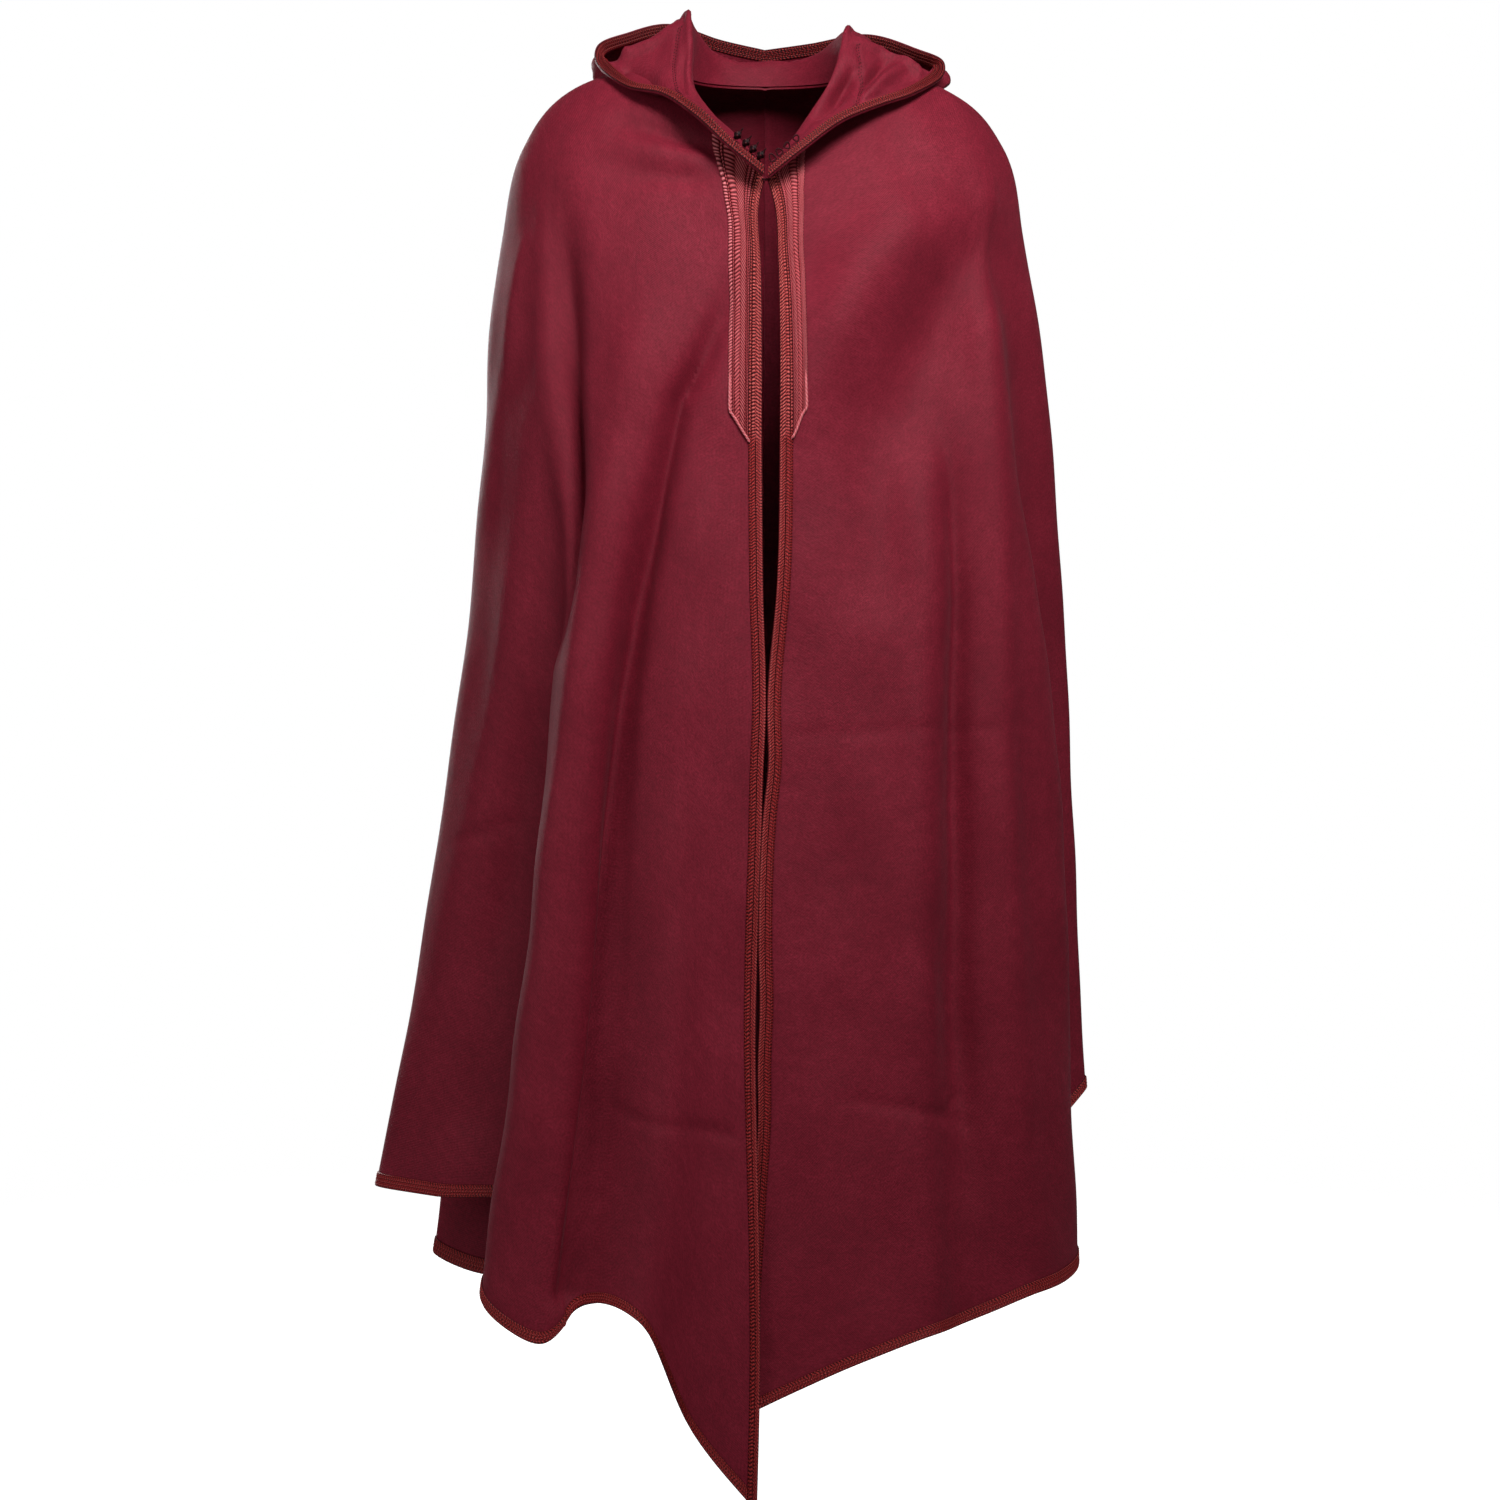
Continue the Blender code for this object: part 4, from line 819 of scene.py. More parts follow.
HEM_CORDS = [
    Cord(0.0, 1.6, 0.4, 2.3, 1.0, 0.05),
    Cord(1.6, 2.7, 0.6, 2.0, 1.4, 0.80),
    Cord(2.8, 4.6, 0.9, 2.4, 1.2, 0.05),
    Cord(4.6, 5.6, -0.6, 2.0, 1.4, 0.90),
    Cord(5.7, 7.6, 0.9, 2.4, 1.2, 0.08),
    Cord(7.6, 8.6, 0.6, 2.0, 1.4, 0.75),
    Cord(8.7, 10.6, -0.9, 2.4, 1.2, 0.05),
    Cord(10.6, 11.9, 0.5, 2.1, 1.2, 0.70),
]
PANEL_CORDS = {
    -1: [Cord(0.00, 0.07, 0.6, 1.9, 1.3, 0.70), Cord(0.08, 0.15, -0.6, 1.9, 1.2, 0.45),
         Cord(0.16, 0.44, 0.45, 2.5, 1.4, 0.40), Cord(0.44, 0.71, -0.45, 2.5, 1.4, 0.45),
         Cord(0.72, 0.79, 0.6, 1.9, 1.4, 0.75), Cord(0.80, 1.00, 0.35, 2.2, 1.5, 1.00)],
    1: [Cord(0.00, 0.09, 0.6, 1.9, 1.3, 0.70), Cord(0.10, 0.38, 0.45, 2.5, 1.4, 0.40),
        Cord(0.38, 0.66, -0.45, 2.5, 1.4, 0.45), Cord(0.67, 0.75, 0.6, 1.9, 1.4, 0.75),
        Cord(0.76, 1.00, 0.30, 2.2, 1.5, 1.00)],
}
HOOD_CORDS = [
    Cord(0.1, 1.6, 0.4, 2.2, 1.1, 0.05),
    Cord(1.7, 2.7, 0.6, 1.9, 1.5, 0.80),
    Cord(2.9, 5.1, 0.9, 2.6, 1.1, 0.00),
    Cord(5.4, 6.3, -0.6, 1.8, 1.5, 0.45),
    Cord(6.6, 8.7, -0.9, 2.6, 1.1, 0.00),
    Cord(8.9, 9.9, 0.6, 1.8, 1.5, 0.85),
    Cord(10.2, 12.8, 0.6, 2.5, 1.0, 0.00),
]
BRAID_BED = 0.4              # thickness of the braid's own ground under its cords, mm
LONG_STITCH = 1.45           # stitches are drawn this much longer than worked, so that they show
STITCH_RISE = 0.40           # share of a cord's height that its stitches rise and fall
STITCH_PAINTED_SHADE = (0.02, 1.05, 1.6)      # painted shade between stitches, how much lighter their crowns are painted, and by which power
# How unevenly the stitches follow: size in stitches, turns along and across a metre in radians.
WANDER = ((0.25, 61.0, 900.0), (0.2, 173.0, -500.0))
PALE_END, PALE_FADE = 0.226, 0.012   # where the front braids' paler cords end, and over what share


def cord_relief(cords, across, along, scale=MM):
    """Height, painted shading and paleness over a braid: each cord is half round across, and its
    stitches are a sine along it, shifted by its slant across.  The shading is painted shade at a
    cord's sides and between its stitches, and a painted highlight on their crowns.  Outside the
    cords is the dark ground, painted darkest as the shade between them."""
    high = np.full(across.shape, BRAID_BED * MM)
    painted_shading = np.zeros(across.shape)
    pale = np.zeros(across.shape)
    dark, light, power = STITCH_PAINTED_SHADE
    for cord in cords:
        middle = (cord.start + cord.end) / 2 * scale
        away = (across - middle) / ((cord.end - cord.start) / 2 * scale)
        crown = np.sqrt(np.clip(1 - away ** 2, 0.0, 1.0))
        wander = sum(size * np.sin(along * turns + middle * shift) for size, turns, shift in WANDER)
        pitch = cord.pitch * LONG_STITCH * MM
        turn = 2 * np.pi * ((along + cord.slant * (across - middle)) / pitch + wander)
        stitch = 0.5 + 0.5 * np.sin(turn)
        inside = np.abs(away) <= 1.0
        lift = (BRAID_BED + cord.raise_ * crown * (1 - STITCH_RISE + STITCH_RISE * stitch)) * MM
        high = np.where(inside, np.maximum(high, lift), high)
        # painted shading: darker towards a cord's sides and between its stitches, lighter on their
        # crowns
        painted_shading = np.where(inside, crown ** 0.5 * (dark + light * stitch ** power), painted_shading)
        pale = np.where(inside, cord.pale, pale)
    return high, painted_shading, pale


def laid_on(name, grid, across, along, relief, material, flip=False, keep=None):
    """A braid on a grid of the cloth, whose cords stand up along the grid's normals."""
    high, painted_shading, pale = relief
    normals = normals_of(grid) * (-1 if flip else 1)
    low = CLOTH / 2 + SEAM_GAP / 2
    layers = (grid + normals * (low + high)[..., None], grid + normals * low,
              np.stack([across, along], axis=2), painted_shading, pale)
    outer, inner, uv, painted_shading, pale = (layer[:, ::-1] for layer in layers) if flip else layers
    thing = shell("plaited_" + name, outer, inner, uv, material, keep or len(across[0]),
                  {"painted_shading": painted_shading, "pale": pale})
    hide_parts(name)
    return thing


def turned(side, *grids):
    """Grids in the order that runs to the viewer's right."""
    return [grid[:, ::-side] for grid in grids]


def make_front_braid(side, rows=1700, columns=20):
    """The braid down one front edge: its cords are paler beside the panel than below it."""
    every, across = np.meshgrid(np.linspace(BRAID_START, 1.0, rows),
                                np.linspace(0.0, EDGE_BRAID_WIDTH, columns), indexing="ij")
    along = every * CLOTH_LENGTH
    change = ease((every - PALE_END) / PALE_FADE)
    relief = [upper + (lower - upper) * change
              for upper, lower in zip(cord_relief(NARROW_TOP_CORDS, across, along),
                                      cord_relief(NARROW_CORDS, across, along))]
    grid = worn(every, edge_places(side, every, across))
    grid, across, along, *relief = turned(side, grid, across, along, *relief)
    return laid_on(named("front_braid", side), grid, across, along, relief, RED_BRAID)


def make_hem_braid(rows=2700, columns=17, steps=6000):
    """The braid along the whole hem, between the two front braids."""
    fine = np.linspace(0.0, LAST, steps)
    lengths = lengths_along(worn(np.ones((1, steps)), fine[None]), 1)[0]
    edge = EDGE_BRAID_WIDTH + SEAM_GAP
    along, across = np.meshgrid(np.linspace(edge, lengths[-1] - edge, rows),
                                np.linspace(0.0, HEM_BRAID_WIDTH, columns), indexing="ij")
    grid = worn(1.0 - across / CLOTH_LENGTH, np.interp(along, lengths, fine))
    return laid_on("hem_braid", grid, across, along, cord_relief(HEM_CORDS, across, along),
                   RED_BRAID)


def make_panel(side, rows=570, columns=40):
    """The wide braid panel beside the opening, from the front braid to its outer edge.

    Its columns keep their share of the width, and its lower end slants.
    """
    part = np.linspace(0.0, 1.0, columns)
    down = np.linspace(0.0, 1.0, rows)[:, None]
    ends = PANEL[-1].share + (PANEL[-2].share - PANEL[-1].share) * part
    shares = BRAID_START + (ends - BRAID_START) * down
    wide = np.interp(shares, [row.share for row in PANEL[:-1]],
                     [row.left if side < 0 else row.right for row in PANEL[:-1]])
    start = EDGE_BRAID_WIDTH + SEAM_GAP
    across = start + (wide - start) * part
    along = shares * CLOTH_LENGTH
    relief = cord_relief(PANEL_CORDS[side], np.repeat(part[None], rows, axis=0), along, 1.0)
    grid = worn(shares, edge_places(side, shares, across))
    grid, across, along, *relief = turned(side, grid, across, along, *relief)
    return laid_on(named("panel_braid", side), grid, across, along, relief, ROSE_BRAID,
                   keep=6)


# ---------------------------------------------------------------- the hood

NECK_PLACES = 961            # places at which the neck edge is read
HOOD_START, HOOD_END = 2.0, 180.0    # degrees from the front at the hood's corner and its middle
HOOD_TURNS, HOOD_ROWS = 170, 120
RIM_TURNS = 1200             # turns at which the opening's edge is measured
SECTION_STEPS = 301          # steps in which a section is measured
HOOD_WAVES = (1.6, 0.7)      # the hood's soft waves: how much closer, and their share in height


def neck_line(side, turns):
    """Points of the body's neck edge at these turns, and the body's normals there."""
    places = np.repeat(np.linspace(0.0, LAST, NECK_PLACES)[None], 2, axis=0)
    rows = base(np.repeat([[0.0], [NECK_STEP]], NECK_PLACES, axis=1), places)
    normals = unit(np.cross(np.gradient(rows[0], axis=0), rows[1] - rows[0]))
    x, y = rows[0][:, 0], rows[0][:, 1]
    ring = RINGS[0]
    width = ring.left if side < 0 else ring.right
    angle = np.degrees(np.arctan2(side * x / width, -y / np.where(y < 0, ring.front, ring.back)))
    angle = np.where(angle < -90, angle + 360, angle)
    order = np.argsort(angle)
    found = read_columns(turns, angle[order], np.hstack([rows[0], normals])[order])
    return found[:, :3], found[:, 3:]


def hood_sections(side, turns):
    """Knots and points of the hood's sections at these turns: foot, roll, inner layer, pouch, outer
    layer and edge."""
    slices = LEFT_HOOD if side < 0 else RIGHT_HOOD
    table = smooth([row.turn for row in slices], [row[1:] for row in slices], turns)
    stand, lean = table[:, 0], table[:, 1]
    seam, normal = neck_line(side, turns)
    outward = unit(seam * (1.0, 1.0, 0.0))
    foot = seam + normal * (CLOTH / 2 + NECK_GAP)
    roll = foot + outward * lean[:, None] + stand[:, None] * (0.0, 0.0, 1.0)
    pouch = table[:, 2:5] * (side, -1, 1)
    edge = table[:, 5:8] * (side, -1, 1)
    depth = np.clip((edge[:, 2] - pouch[:, 2]) / POUCH_DEPTH, 0.0, 1.0)[:, None]
    across, down = (shallow + (deep - shallow) * depth
                    for shallow, deep in (POUCH_ACROSS, POUCH_DOWN))
    inside = roll + (pouch - roll) * np.concatenate([across, across, down], axis=1)
    outside = (pouch + edge) / 2 + outward * HOOD_PUFF * depth
    points = np.stack([foot, roll, inside, pouch, outside, edge], axis=1)
    return knots_of(points, HOOD_KNOT_POWER), points


def hood_base(side, turns, lengths_wanted):
    """Points of the hood at these turns and at the lengths wanted down each section, and those
    lengths.  lengths_wanted gives them from the sections' whole lengths."""
    knots, points = hood_sections(side, turns)
    slopes = knot_slopes(knots, points)
    row = np.arange(len(turns))[:, None]
    steps = np.linspace(0.0, points.shape[1] - 1.0, SECTION_STEPS)
    fine = np.repeat(steps[None], len(turns), axis=0)
    lengths = lengths_along(curve_read(knots, points, slopes, row, fine), 1)
    wanted = lengths_wanted(lengths[:, -1:])
    places = row_read(wanted, lengths, fine)
    return curve_read(knots, points, slopes, row, places), wanted


def read_grid(grid, rows, columns):
    """Points of a grid at places counted in rows and columns, straight between its points."""
    row = np.clip(np.asarray(rows, dtype=float), 0, grid.shape[0] - 1.001)
    column = np.clip(np.asarray(columns, dtype=float), 0, grid.shape[1] - 1.001)
    r, c = row.astype(int), column.astype(int)
    down, right = (row - r)[..., None], (column - c)[..., None]
    upper, lower = (grid[at, c] * (1 - right) + grid[at, c + 1] * right for at in (r, r + 1))
    return upper * (1 - down) + lower * down


def hood_places(points):
    """Rows and columns of the hood's grid for points given as turn and share."""
    return ((points[:, 0] - HOOD_START) / (HOOD_END - HOOD_START) * (HOOD_TURNS - 1),
            points[:, 1] * (HOOD_ROWS - 1))


def hood_worn(side):
    """The hood's middle surface with its creases (turns, shares, xyz), its normals on the face that
    shows from the front, and the lengths down its sections."""
    grid, lengths = hood_base(side, np.linspace(HOOD_START, HOOD_END, HOOD_TURNS),
                              lambda whole: whole * np.linspace(0.0, 1.0, HOOD_ROWS))
    grid[-1, :, 0] = 0.0
    normals = normals_of(grid) * side
    clear, soft = HOOD_FADE
    fade = ease((lengths[:, -1:] - lengths - clear) / soft) * ease(lengths / clear)
    closer, share = HOOD_WAVES
    height = soft_waves(grid * closer) * share
    for crease in HOOD_CREASES:
        if crease.side == side:
            points = np.array(crease.points, dtype=float)
            line = read_grid(grid, *hood_places(points)) / MM
            height = height + crease_height(grid / MM, np.hstack([line, points[:, 2:]])) * MM
    grid = grid + normals * (height * fade)[..., None]
    grid[-1, :, 0] = 0.0
    normals = normals_of(grid) * side
    normals[-1, :, 0] = 0.0
    return grid, unit(normals), lengths


def make_hood(side, surface):
    """One half of the hood, from the neck seam over roll and pouch to the opening's edge."""
    grid, normals, lengths = surface
    uv = np.stack([lengths_along(grid, 0), lengths], axis=2)
    half = normals * CLOTH / 2
    outer, inner, uv = (layer.transpose(1, 0, 2)[:, ::side]
                        for layer in (grid - half, grid + half, uv))
    name = named("hood", side)
    thing = shell("wool_" + name, outer, inner, uv, WOOL)
    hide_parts(name)
    return thing


def make_hood_braid(side, rows=820, columns=19):
    """The braid on the inner face along the hood's opening."""
    turns = np.linspace(HOOD_START, HOOD_END, RIM_TURNS)
    edge, _ = hood_base(side, turns, lambda whole: whole * np.ones((1, 1)))
    lengths = lengths_along(edge.transpose(1, 0, 2), 1)[0]
    along = np.linspace(0.0, lengths[-1], rows)
    across = np.linspace(0.0, HOOD_BRAID_WIDTH, columns)
    most = BRAID_SHARE_MOST / HOOD_BRAID_WIDTH
    grid, _ = hood_base(side, np.interp(along, lengths, turns),
                        lambda whole: whole - across * np.minimum(1.0, whole * most))
    along, across = np.meshgrid(along, across, indexing="ij")
    return laid_on(named("hood_braid", side), grid, across, along,
                   cord_relief(HOOD_CORDS, across, along), RIM_BRAID, flip=side > 0)


# ---------------------------------------------------------------- stitches, cords and fastenings

STITCH_SIDES = 6
# A stitch's three rings: place along it, size and height above the cloth.
STITCH_RINGS = ((-0.62, 0.72, 0.4), (0.0, 1.0, 0.9), (0.62, 0.72, 0.4))
# painted shading: a stitch's three rings, its sunk ends, and an open tube's pointed ends
RING_PAINTED_SHADE, END_PAINTED_SHADE, TUBE_END_PAINTED_SHADE = (0.5, 0.9, 0.5), 0.2, 0.4


def tube(name, path, up, radius, painted_shading, material, closed=False):
    """Tube along a path: each ring is path + radius * (cos * up + sin * across).

    radius holds a row of sizes for each ring.  An open tube ends in points, a closed one joins on.
    """
    rings, sides = radius.shape
    run = unit(np.roll(path, -1, axis=0) - np.roll(path, 1, axis=0) if closed
               else np.gradient(path, axis=0))
    across = unit(np.cross(run, up))
    up = np.cross(across, run)
    turn = circle(sides)[None, :, None]
    points = path[:, None] + radius[..., None] * (np.cos(turn) * up[:, None]
                                                  + np.sin(turn) * across[:, None])
    along = lengths_along(path[None], 1)[0]
    here = np.arange(rings if closed else rings - 1)[:, None] * sides
    there = (here + sides) % (rings * sides)
    i = np.arange(sides)
    after = (i + 1) % sides
    faces = joined(here + i, here + after, there + after, there + i)
    vertices = points.reshape(-1, 3)
    uv = np.stack(np.broadcast_arrays(turn[..., 0] * radius.mean(), along[:, None]), axis=2)
    uv = uv.reshape(-1, 2)
    painted_shading = painted_shading.ravel()
    if not closed:
        foot, last = rings * sides, (rings - 1) * sides
        vertices = np.concatenate([vertices, path[[0, -1]]])
        uv = np.concatenate([uv, [[0.0, along[0]], [0.0, along[-1]]]])
        # painted shade at the tube's pointed ends
        painted_shading = np.append(painted_shading, [TUBE_END_PAINTED_SHADE] * 2)
        faces += joined(foot, after, i) + joined(foot + 1, last + i, last + after)
    marks = {"painted_shading": painted_shading, "pale": np.ones(len(painted_shading))}
    return build(name, vertices, faces, uv, material, marks, ROUND_SHARP)


def stitches(name, centres, along, up, length, radius):
    """A row of stitches: each is a spindle of three rings between two points, sunk at its ends."""
    place, size, lift = np.array(STITCH_RINGS).T[..., None, None] * np.reshape(
        [length / 2, radius, radius], (3, 1, 1, 1))
    turn = circle(STITCH_SIDES)[None, :, None]
    middle, run, rise, over = (axis[:, None, None]
                               for axis in (centres, along, up, np.cross(along, up)))
    rings = (middle + place * run + (lift + size * np.cos(turn)) * rise
             + size * np.sin(turn) * over)
    ends = np.stack([centres - along * length / 2, centres + along * length / 2], axis=1)
    vertices = np.concatenate([rings.reshape(len(centres), -1, 3), ends], axis=1)
    i = np.arange(STITCH_SIDES)
    after = (i + 1) % STITCH_SIDES
    ring = np.array([[0], [STITCH_SIDES]])
    foot, last = 3 * STITCH_SIDES, 2 * STITCH_SIDES
    quads = joined(ring + i, ring + STITCH_SIDES + i, ring + STITCH_SIDES + after, ring + after)
    caps = joined(foot, i, after) + joined(foot + 1, last + after, last + i)
    shift = np.arange(len(centres))[:, None, None] * (foot + 2)
    faces = [face for part in (quads, caps)
             for face in (np.array(part) + shift).reshape(-1, len(part[0])).tolist()]
    flat = vertices.reshape(-1, 3)
    uv = np.stack([np.arange(len(flat)) * MM, np.zeros(len(flat))], axis=1)
    # painted highlight on each stitch's middle ring, painted shade towards its sunk ends
    painted_shading = np.tile(np.append(np.repeat(RING_PAINTED_SHADE, STITCH_SIDES), [END_PAINTED_SHADE] * 2), len(centres))
    return build(name, flat, faces, uv, DARK_CORD, {"painted_shading": painted_shading}, ROUND_SHARP)


def spaced(path, up, gap):
    """Points, directions and upward directions every so often along a path."""
    far = lengths_along(path[None], 1)[0]
    places = np.arange(gap / 2, far[-1], gap)
    centres = read_columns(places, far, path)
    ups = unit(read_columns(places, far, up))
    along = np.gradient(centres, axis=0)
    return centres, unit(along - (along * ups).sum(axis=1, keepdims=True) * ups), ups


# Rows of stitches: distance from one to the next, length and radius of each.
HOOD_STITCH = (0.0042, 0.0030, 0.00055)
BACK_STITCH = (0.0075, 0.0046, 0.0005)
STITCH_ROWS_APART = 0.0024   # between the two rows along the hood's seam
BACK_SEAM = (0.012, 0.985)   # shares of the length between which the back's seam is stitched
SEAM_STEPS, BACK_STEPS = 60, 500     # steps in which the two seams are measured
BESIDE = 0.02                # step in fold places that gives the slope beside the back's seam


def make_hood_stitches(side, surface):
    """The two close rows of dark stitches along the hood's shaped seam, on the face that shows."""
    seam = next(crease for crease in HOOD_CREASES if crease.name == named("seam", side))
    grid, normals, _ = surface
    points = np.array(seam.points, dtype=float)
    places = read_columns(np.linspace(0.0, len(points) - 1.0, SEAM_STEPS), np.arange(len(points)),
                          points)
    path, ups = (read_grid(layer, *hood_places(places)) for layer in (grid, normals))
    gap, length, radius = HOOD_STITCH
    centres, along, up = spaced(path + ups * CLOTH / 2, ups, gap)
    aside = np.cross(along, up) * STITCH_ROWS_APART / 2
    centres = np.concatenate([centres - aside, centres + aside + along * gap / 2])
    return stitches(named("hood_stitches", side), centres, np.tile(along, (2, 1)),
                    np.tile(up, (2, 1)), length, radius)


def make_back_stitches():
    """The row of stitches down the seam at the middle of the back."""
    shares = np.linspace(*BACK_SEAM, BACK_STEPS)[None]
    path, beside = (worn(shares, np.full(shares.shape, place))[0]
                    for place in (MIDDLE, MIDDLE + BESIDE))
    up = unit(np.cross(beside - path, np.gradient(path, axis=0)))
    gap, length, radius = BACK_STITCH
    return stitches("back_stitches", *spaced(path + up * CLOTH / 2, up, gap), length, radius)


# The smooth cord round a panel's lower end: its turns, as steps in share and across from the outer
# corner and then from the end beside the front braid.
CORNER_TURNS = ((-0.030, -0.0012), (-0.012, -0.0010), (-0.004, -0.0008), (0.0006, -0.0016),
                (0.004, -0.0052))
END_TURNS = ((-0.002, 0.0018), (0.0022, -0.0020))
PANEL_CORD_SIZE, PANEL_CORD_LIFT = 0.0013, 0.0019   # its radius, and its height above the cloth
PANEL_CORD_PLY, PANEL_CORD_PITCH = 0.10, 0.0042     # depth and length of its twist
PANEL_CORD_PAINTED_SHADE = (0.45, 0.5)        # painted shade of its troughs, and how much lighter its crowns are painted
CORD_END, CORD_THIN = 0.4, 0.3       # turns over which its ends grow thin, and how thin they get
CORD_RINGS, CORD_SIDES = 150, 10


def make_panel_cord(side):
    """The smooth cord laid round the panel's lower corner and its slanting end."""
    corner, end = PANEL[-2:]
    outer = (corner.share, corner.left if side < 0 else corner.right)
    inner = (end.share, EDGE_BRAID_WIDTH + SEAM_GAP)
    turns = np.concatenate([np.add(CORNER_TURNS, outer), np.add(END_TURNS, inner)])
    last = len(turns) - 1.0
    fine = np.linspace(0.0, last, CORD_RINGS)
    shares, across = smooth(np.arange(last + 1), turns, fine).T[..., None]
    grid, near, low = (worn(shares + down, edge_places(side, shares + down, across + over))
                       for down, over in ((0.0, 0.0), (0.0, MM), (MM, 0.0)))
    up = unit(np.cross(near - grid, low - grid)[:, 0] * -side)
    along = lengths_along(grid.transpose(1, 0, 2), 1)[0]
    twist = np.cos(2 * circle(CORD_SIDES)[None] + along[:, None] / PANEL_CORD_PITCH * 2 * np.pi)
    thin = ease(np.minimum(fine, last - fine) / CORD_END) * (1 - CORD_THIN) + CORD_THIN
    # painted shade in the twist's troughs, lighter on its crowns
    dark, lighter = PANEL_CORD_PAINTED_SHADE
    return tube(named("panel_cord", side), grid[:, 0] + up * (CLOTH / 2 + PANEL_CORD_LIFT), up,
                PANEL_CORD_SIZE * thin[:, None] * (1 + PANEL_CORD_PLY * twist),
                dark + lighter * (0.5 + 0.5 * twist), ROSE_BRAID)


def node_points(name):
    """Corners of a node of the frame, as rows."""
    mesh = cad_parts[name].data
    points = np.empty(len(mesh.vertices) * 3)
    mesh.vertices.foreach_get("co", points)
    return np.unique(points.reshape(-1, 3).round(6), axis=0)


# A button's outline: place along its axis and radius, as shares of its size.
KNOT_PROFILE = [(-2.2, 0.20), (-1.30, 0.24), (-1.05, 0.40), (-0.85, 0.70), (-0.5, 0.95),
                (-0.1, 1.05), (0.3, 0.98), (0.7, 0.84), (1.05, 0.68), (1.4, 0.50), (1.75, 0.34),
                (2.2, 0.12)]
KNOT_SIZE = 0.0040
KNOT_RINGS, KNOT_SIDES = 56, 40
KNOT_LEAN, LEAN_START, LEAN_POWER = 0.0022, 0.4, 1.5   # how far, from where, how the tip bends
STRANDS, STRANDS_WIND = 2.0, 2.4     # strands each way round a knot, and how fast they wind
UNEVEN, UNEVEN_COUNT, UNEVEN_WIND = 0.25, 4.0, 5.0     # and how unevenly they are pulled
STRANDS_LOW, STRANDS_RISE = 0.84, 0.20     # share of the radius between them, and their height
KNOT_BENDS = ((0.5, 0.0, 0.6), (0.7, 0.0, 0.5), (1.0, 0.0, 0.5), (0.3, 0.0, 0.9))
# The loops: which way each is drawn out, and how much longer it is that way.
LOOPS = (((-0.6, -0.2, 1.0), 1.25), ((-0.8, -0.2, 0.8), 1.05),
         ((0.2, -0.2, 1.0), 0.95), ((0.6, -0.3, 0.6), 0.9))
LOOP_RADIUS, LOOP_CORD, LOOP_PLY = 0.0031, 0.00082, 0.16   # of the ring, its cord, and its twist
LOOP_POINT, LOOP_PINCH = 0.16, 0.13  # how far the ring is drawn out, and pinched at its feet
LOOP_RINGS, LOOP_TWISTS = 90, 14
LINK_CORD, LINK_PLY, LINK_TWISTS = 0.00072, 0.18, 22
LINK_SAG, LINK_SWAY, LINK_SWAYS = 0.0010, 0.0003, 9
# The knot at the link's middle and the thicker ends: place, extra radius, and length.
LINK_KNOTS = ((0.0, 0.0008, 0.14), (0.82, 0.0005, 0.1))
LINK_RINGS, LINK_SIDES = 120, 12


def make_knot(name, bend):
    """A pointed button knotted from cord: a turned profile with two crossing sets of strands."""
    points = node_points(name)
    middle = points.mean(axis=0)
    tip = points[np.linalg.norm(points - middle, axis=1).argmax()]
    up = unit(tip - middle)
    foot = points[((points - middle) @ up).argmin()]
    profile = np.array(KNOT_PROFILE)
    last = len(profile) - 1.0
    place, size = read_columns(np.linspace(0.0, last, KNOT_RINGS), np.arange(last + 1),
                               profile).T[..., None]
    turn = circle(KNOT_SIDES)[None]
    strands = (np.abs(np.cos(STRANDS * turn + STRANDS_WIND * place))
               * (1 - UNEVEN + UNEVEN * np.cos(UNEVEN_COUNT * turn - UNEVEN_WIND * place)))
    lean = np.array(bend) * (np.clip(place, LEAN_START, 2.0) - LEAN_START) ** LEAN_POWER * KNOT_LEAN
    path = foot + up * KNOT_SIZE + up * place * KNOT_SIZE + lean
    side = np.cross(up, (0.3, 0.8, 0.5))
    # the strands' painted shading: painted shade between them, lighter on their crowns
    thing = tube("knotted_" + name, path, np.repeat(side[None], len(path), axis=0),
                 size * KNOT_SIZE * (STRANDS_LOW + STRANDS_RISE * strands), strands ** 2,
                 DARK_CORD)
    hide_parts(name)


def make_loop(name, way, stretch):
    """A loop of twisted cord for a button: a ring drawn out to a point, its feet side by side."""
    points = node_points(name)
    centre = points.mean(axis=0)
    normal = np.linalg.svd(points - centre)[2][2]
    out = unit(np.array(way) - normal * (normal @ way))
    across = np.cross(normal, out)
    turn = circle(LOOP_RINGS)[:, None]
    reach = LOOP_RADIUS * (1 + LOOP_POINT * np.cos(turn) + LOOP_PINCH * np.cos(3 * turn))
    path = centre + reach * (np.cos(turn) * out * stretch + np.sin(turn) * across)
    twist = np.cos(2 * circle(CORD_SIDES)[None] + LOOP_TWISTS * turn)
    # painted shade in the twist's troughs, lighter on its crowns
    thing = tube("twisted_" + name, path, np.repeat(normal[None], LOOP_RINGS, axis=0),
                 LOOP_CORD * (1 + LOOP_PLY * twist), 0.5 + 0.5 * twist, DARK_CORD,
                 closed=True)
    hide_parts(name)


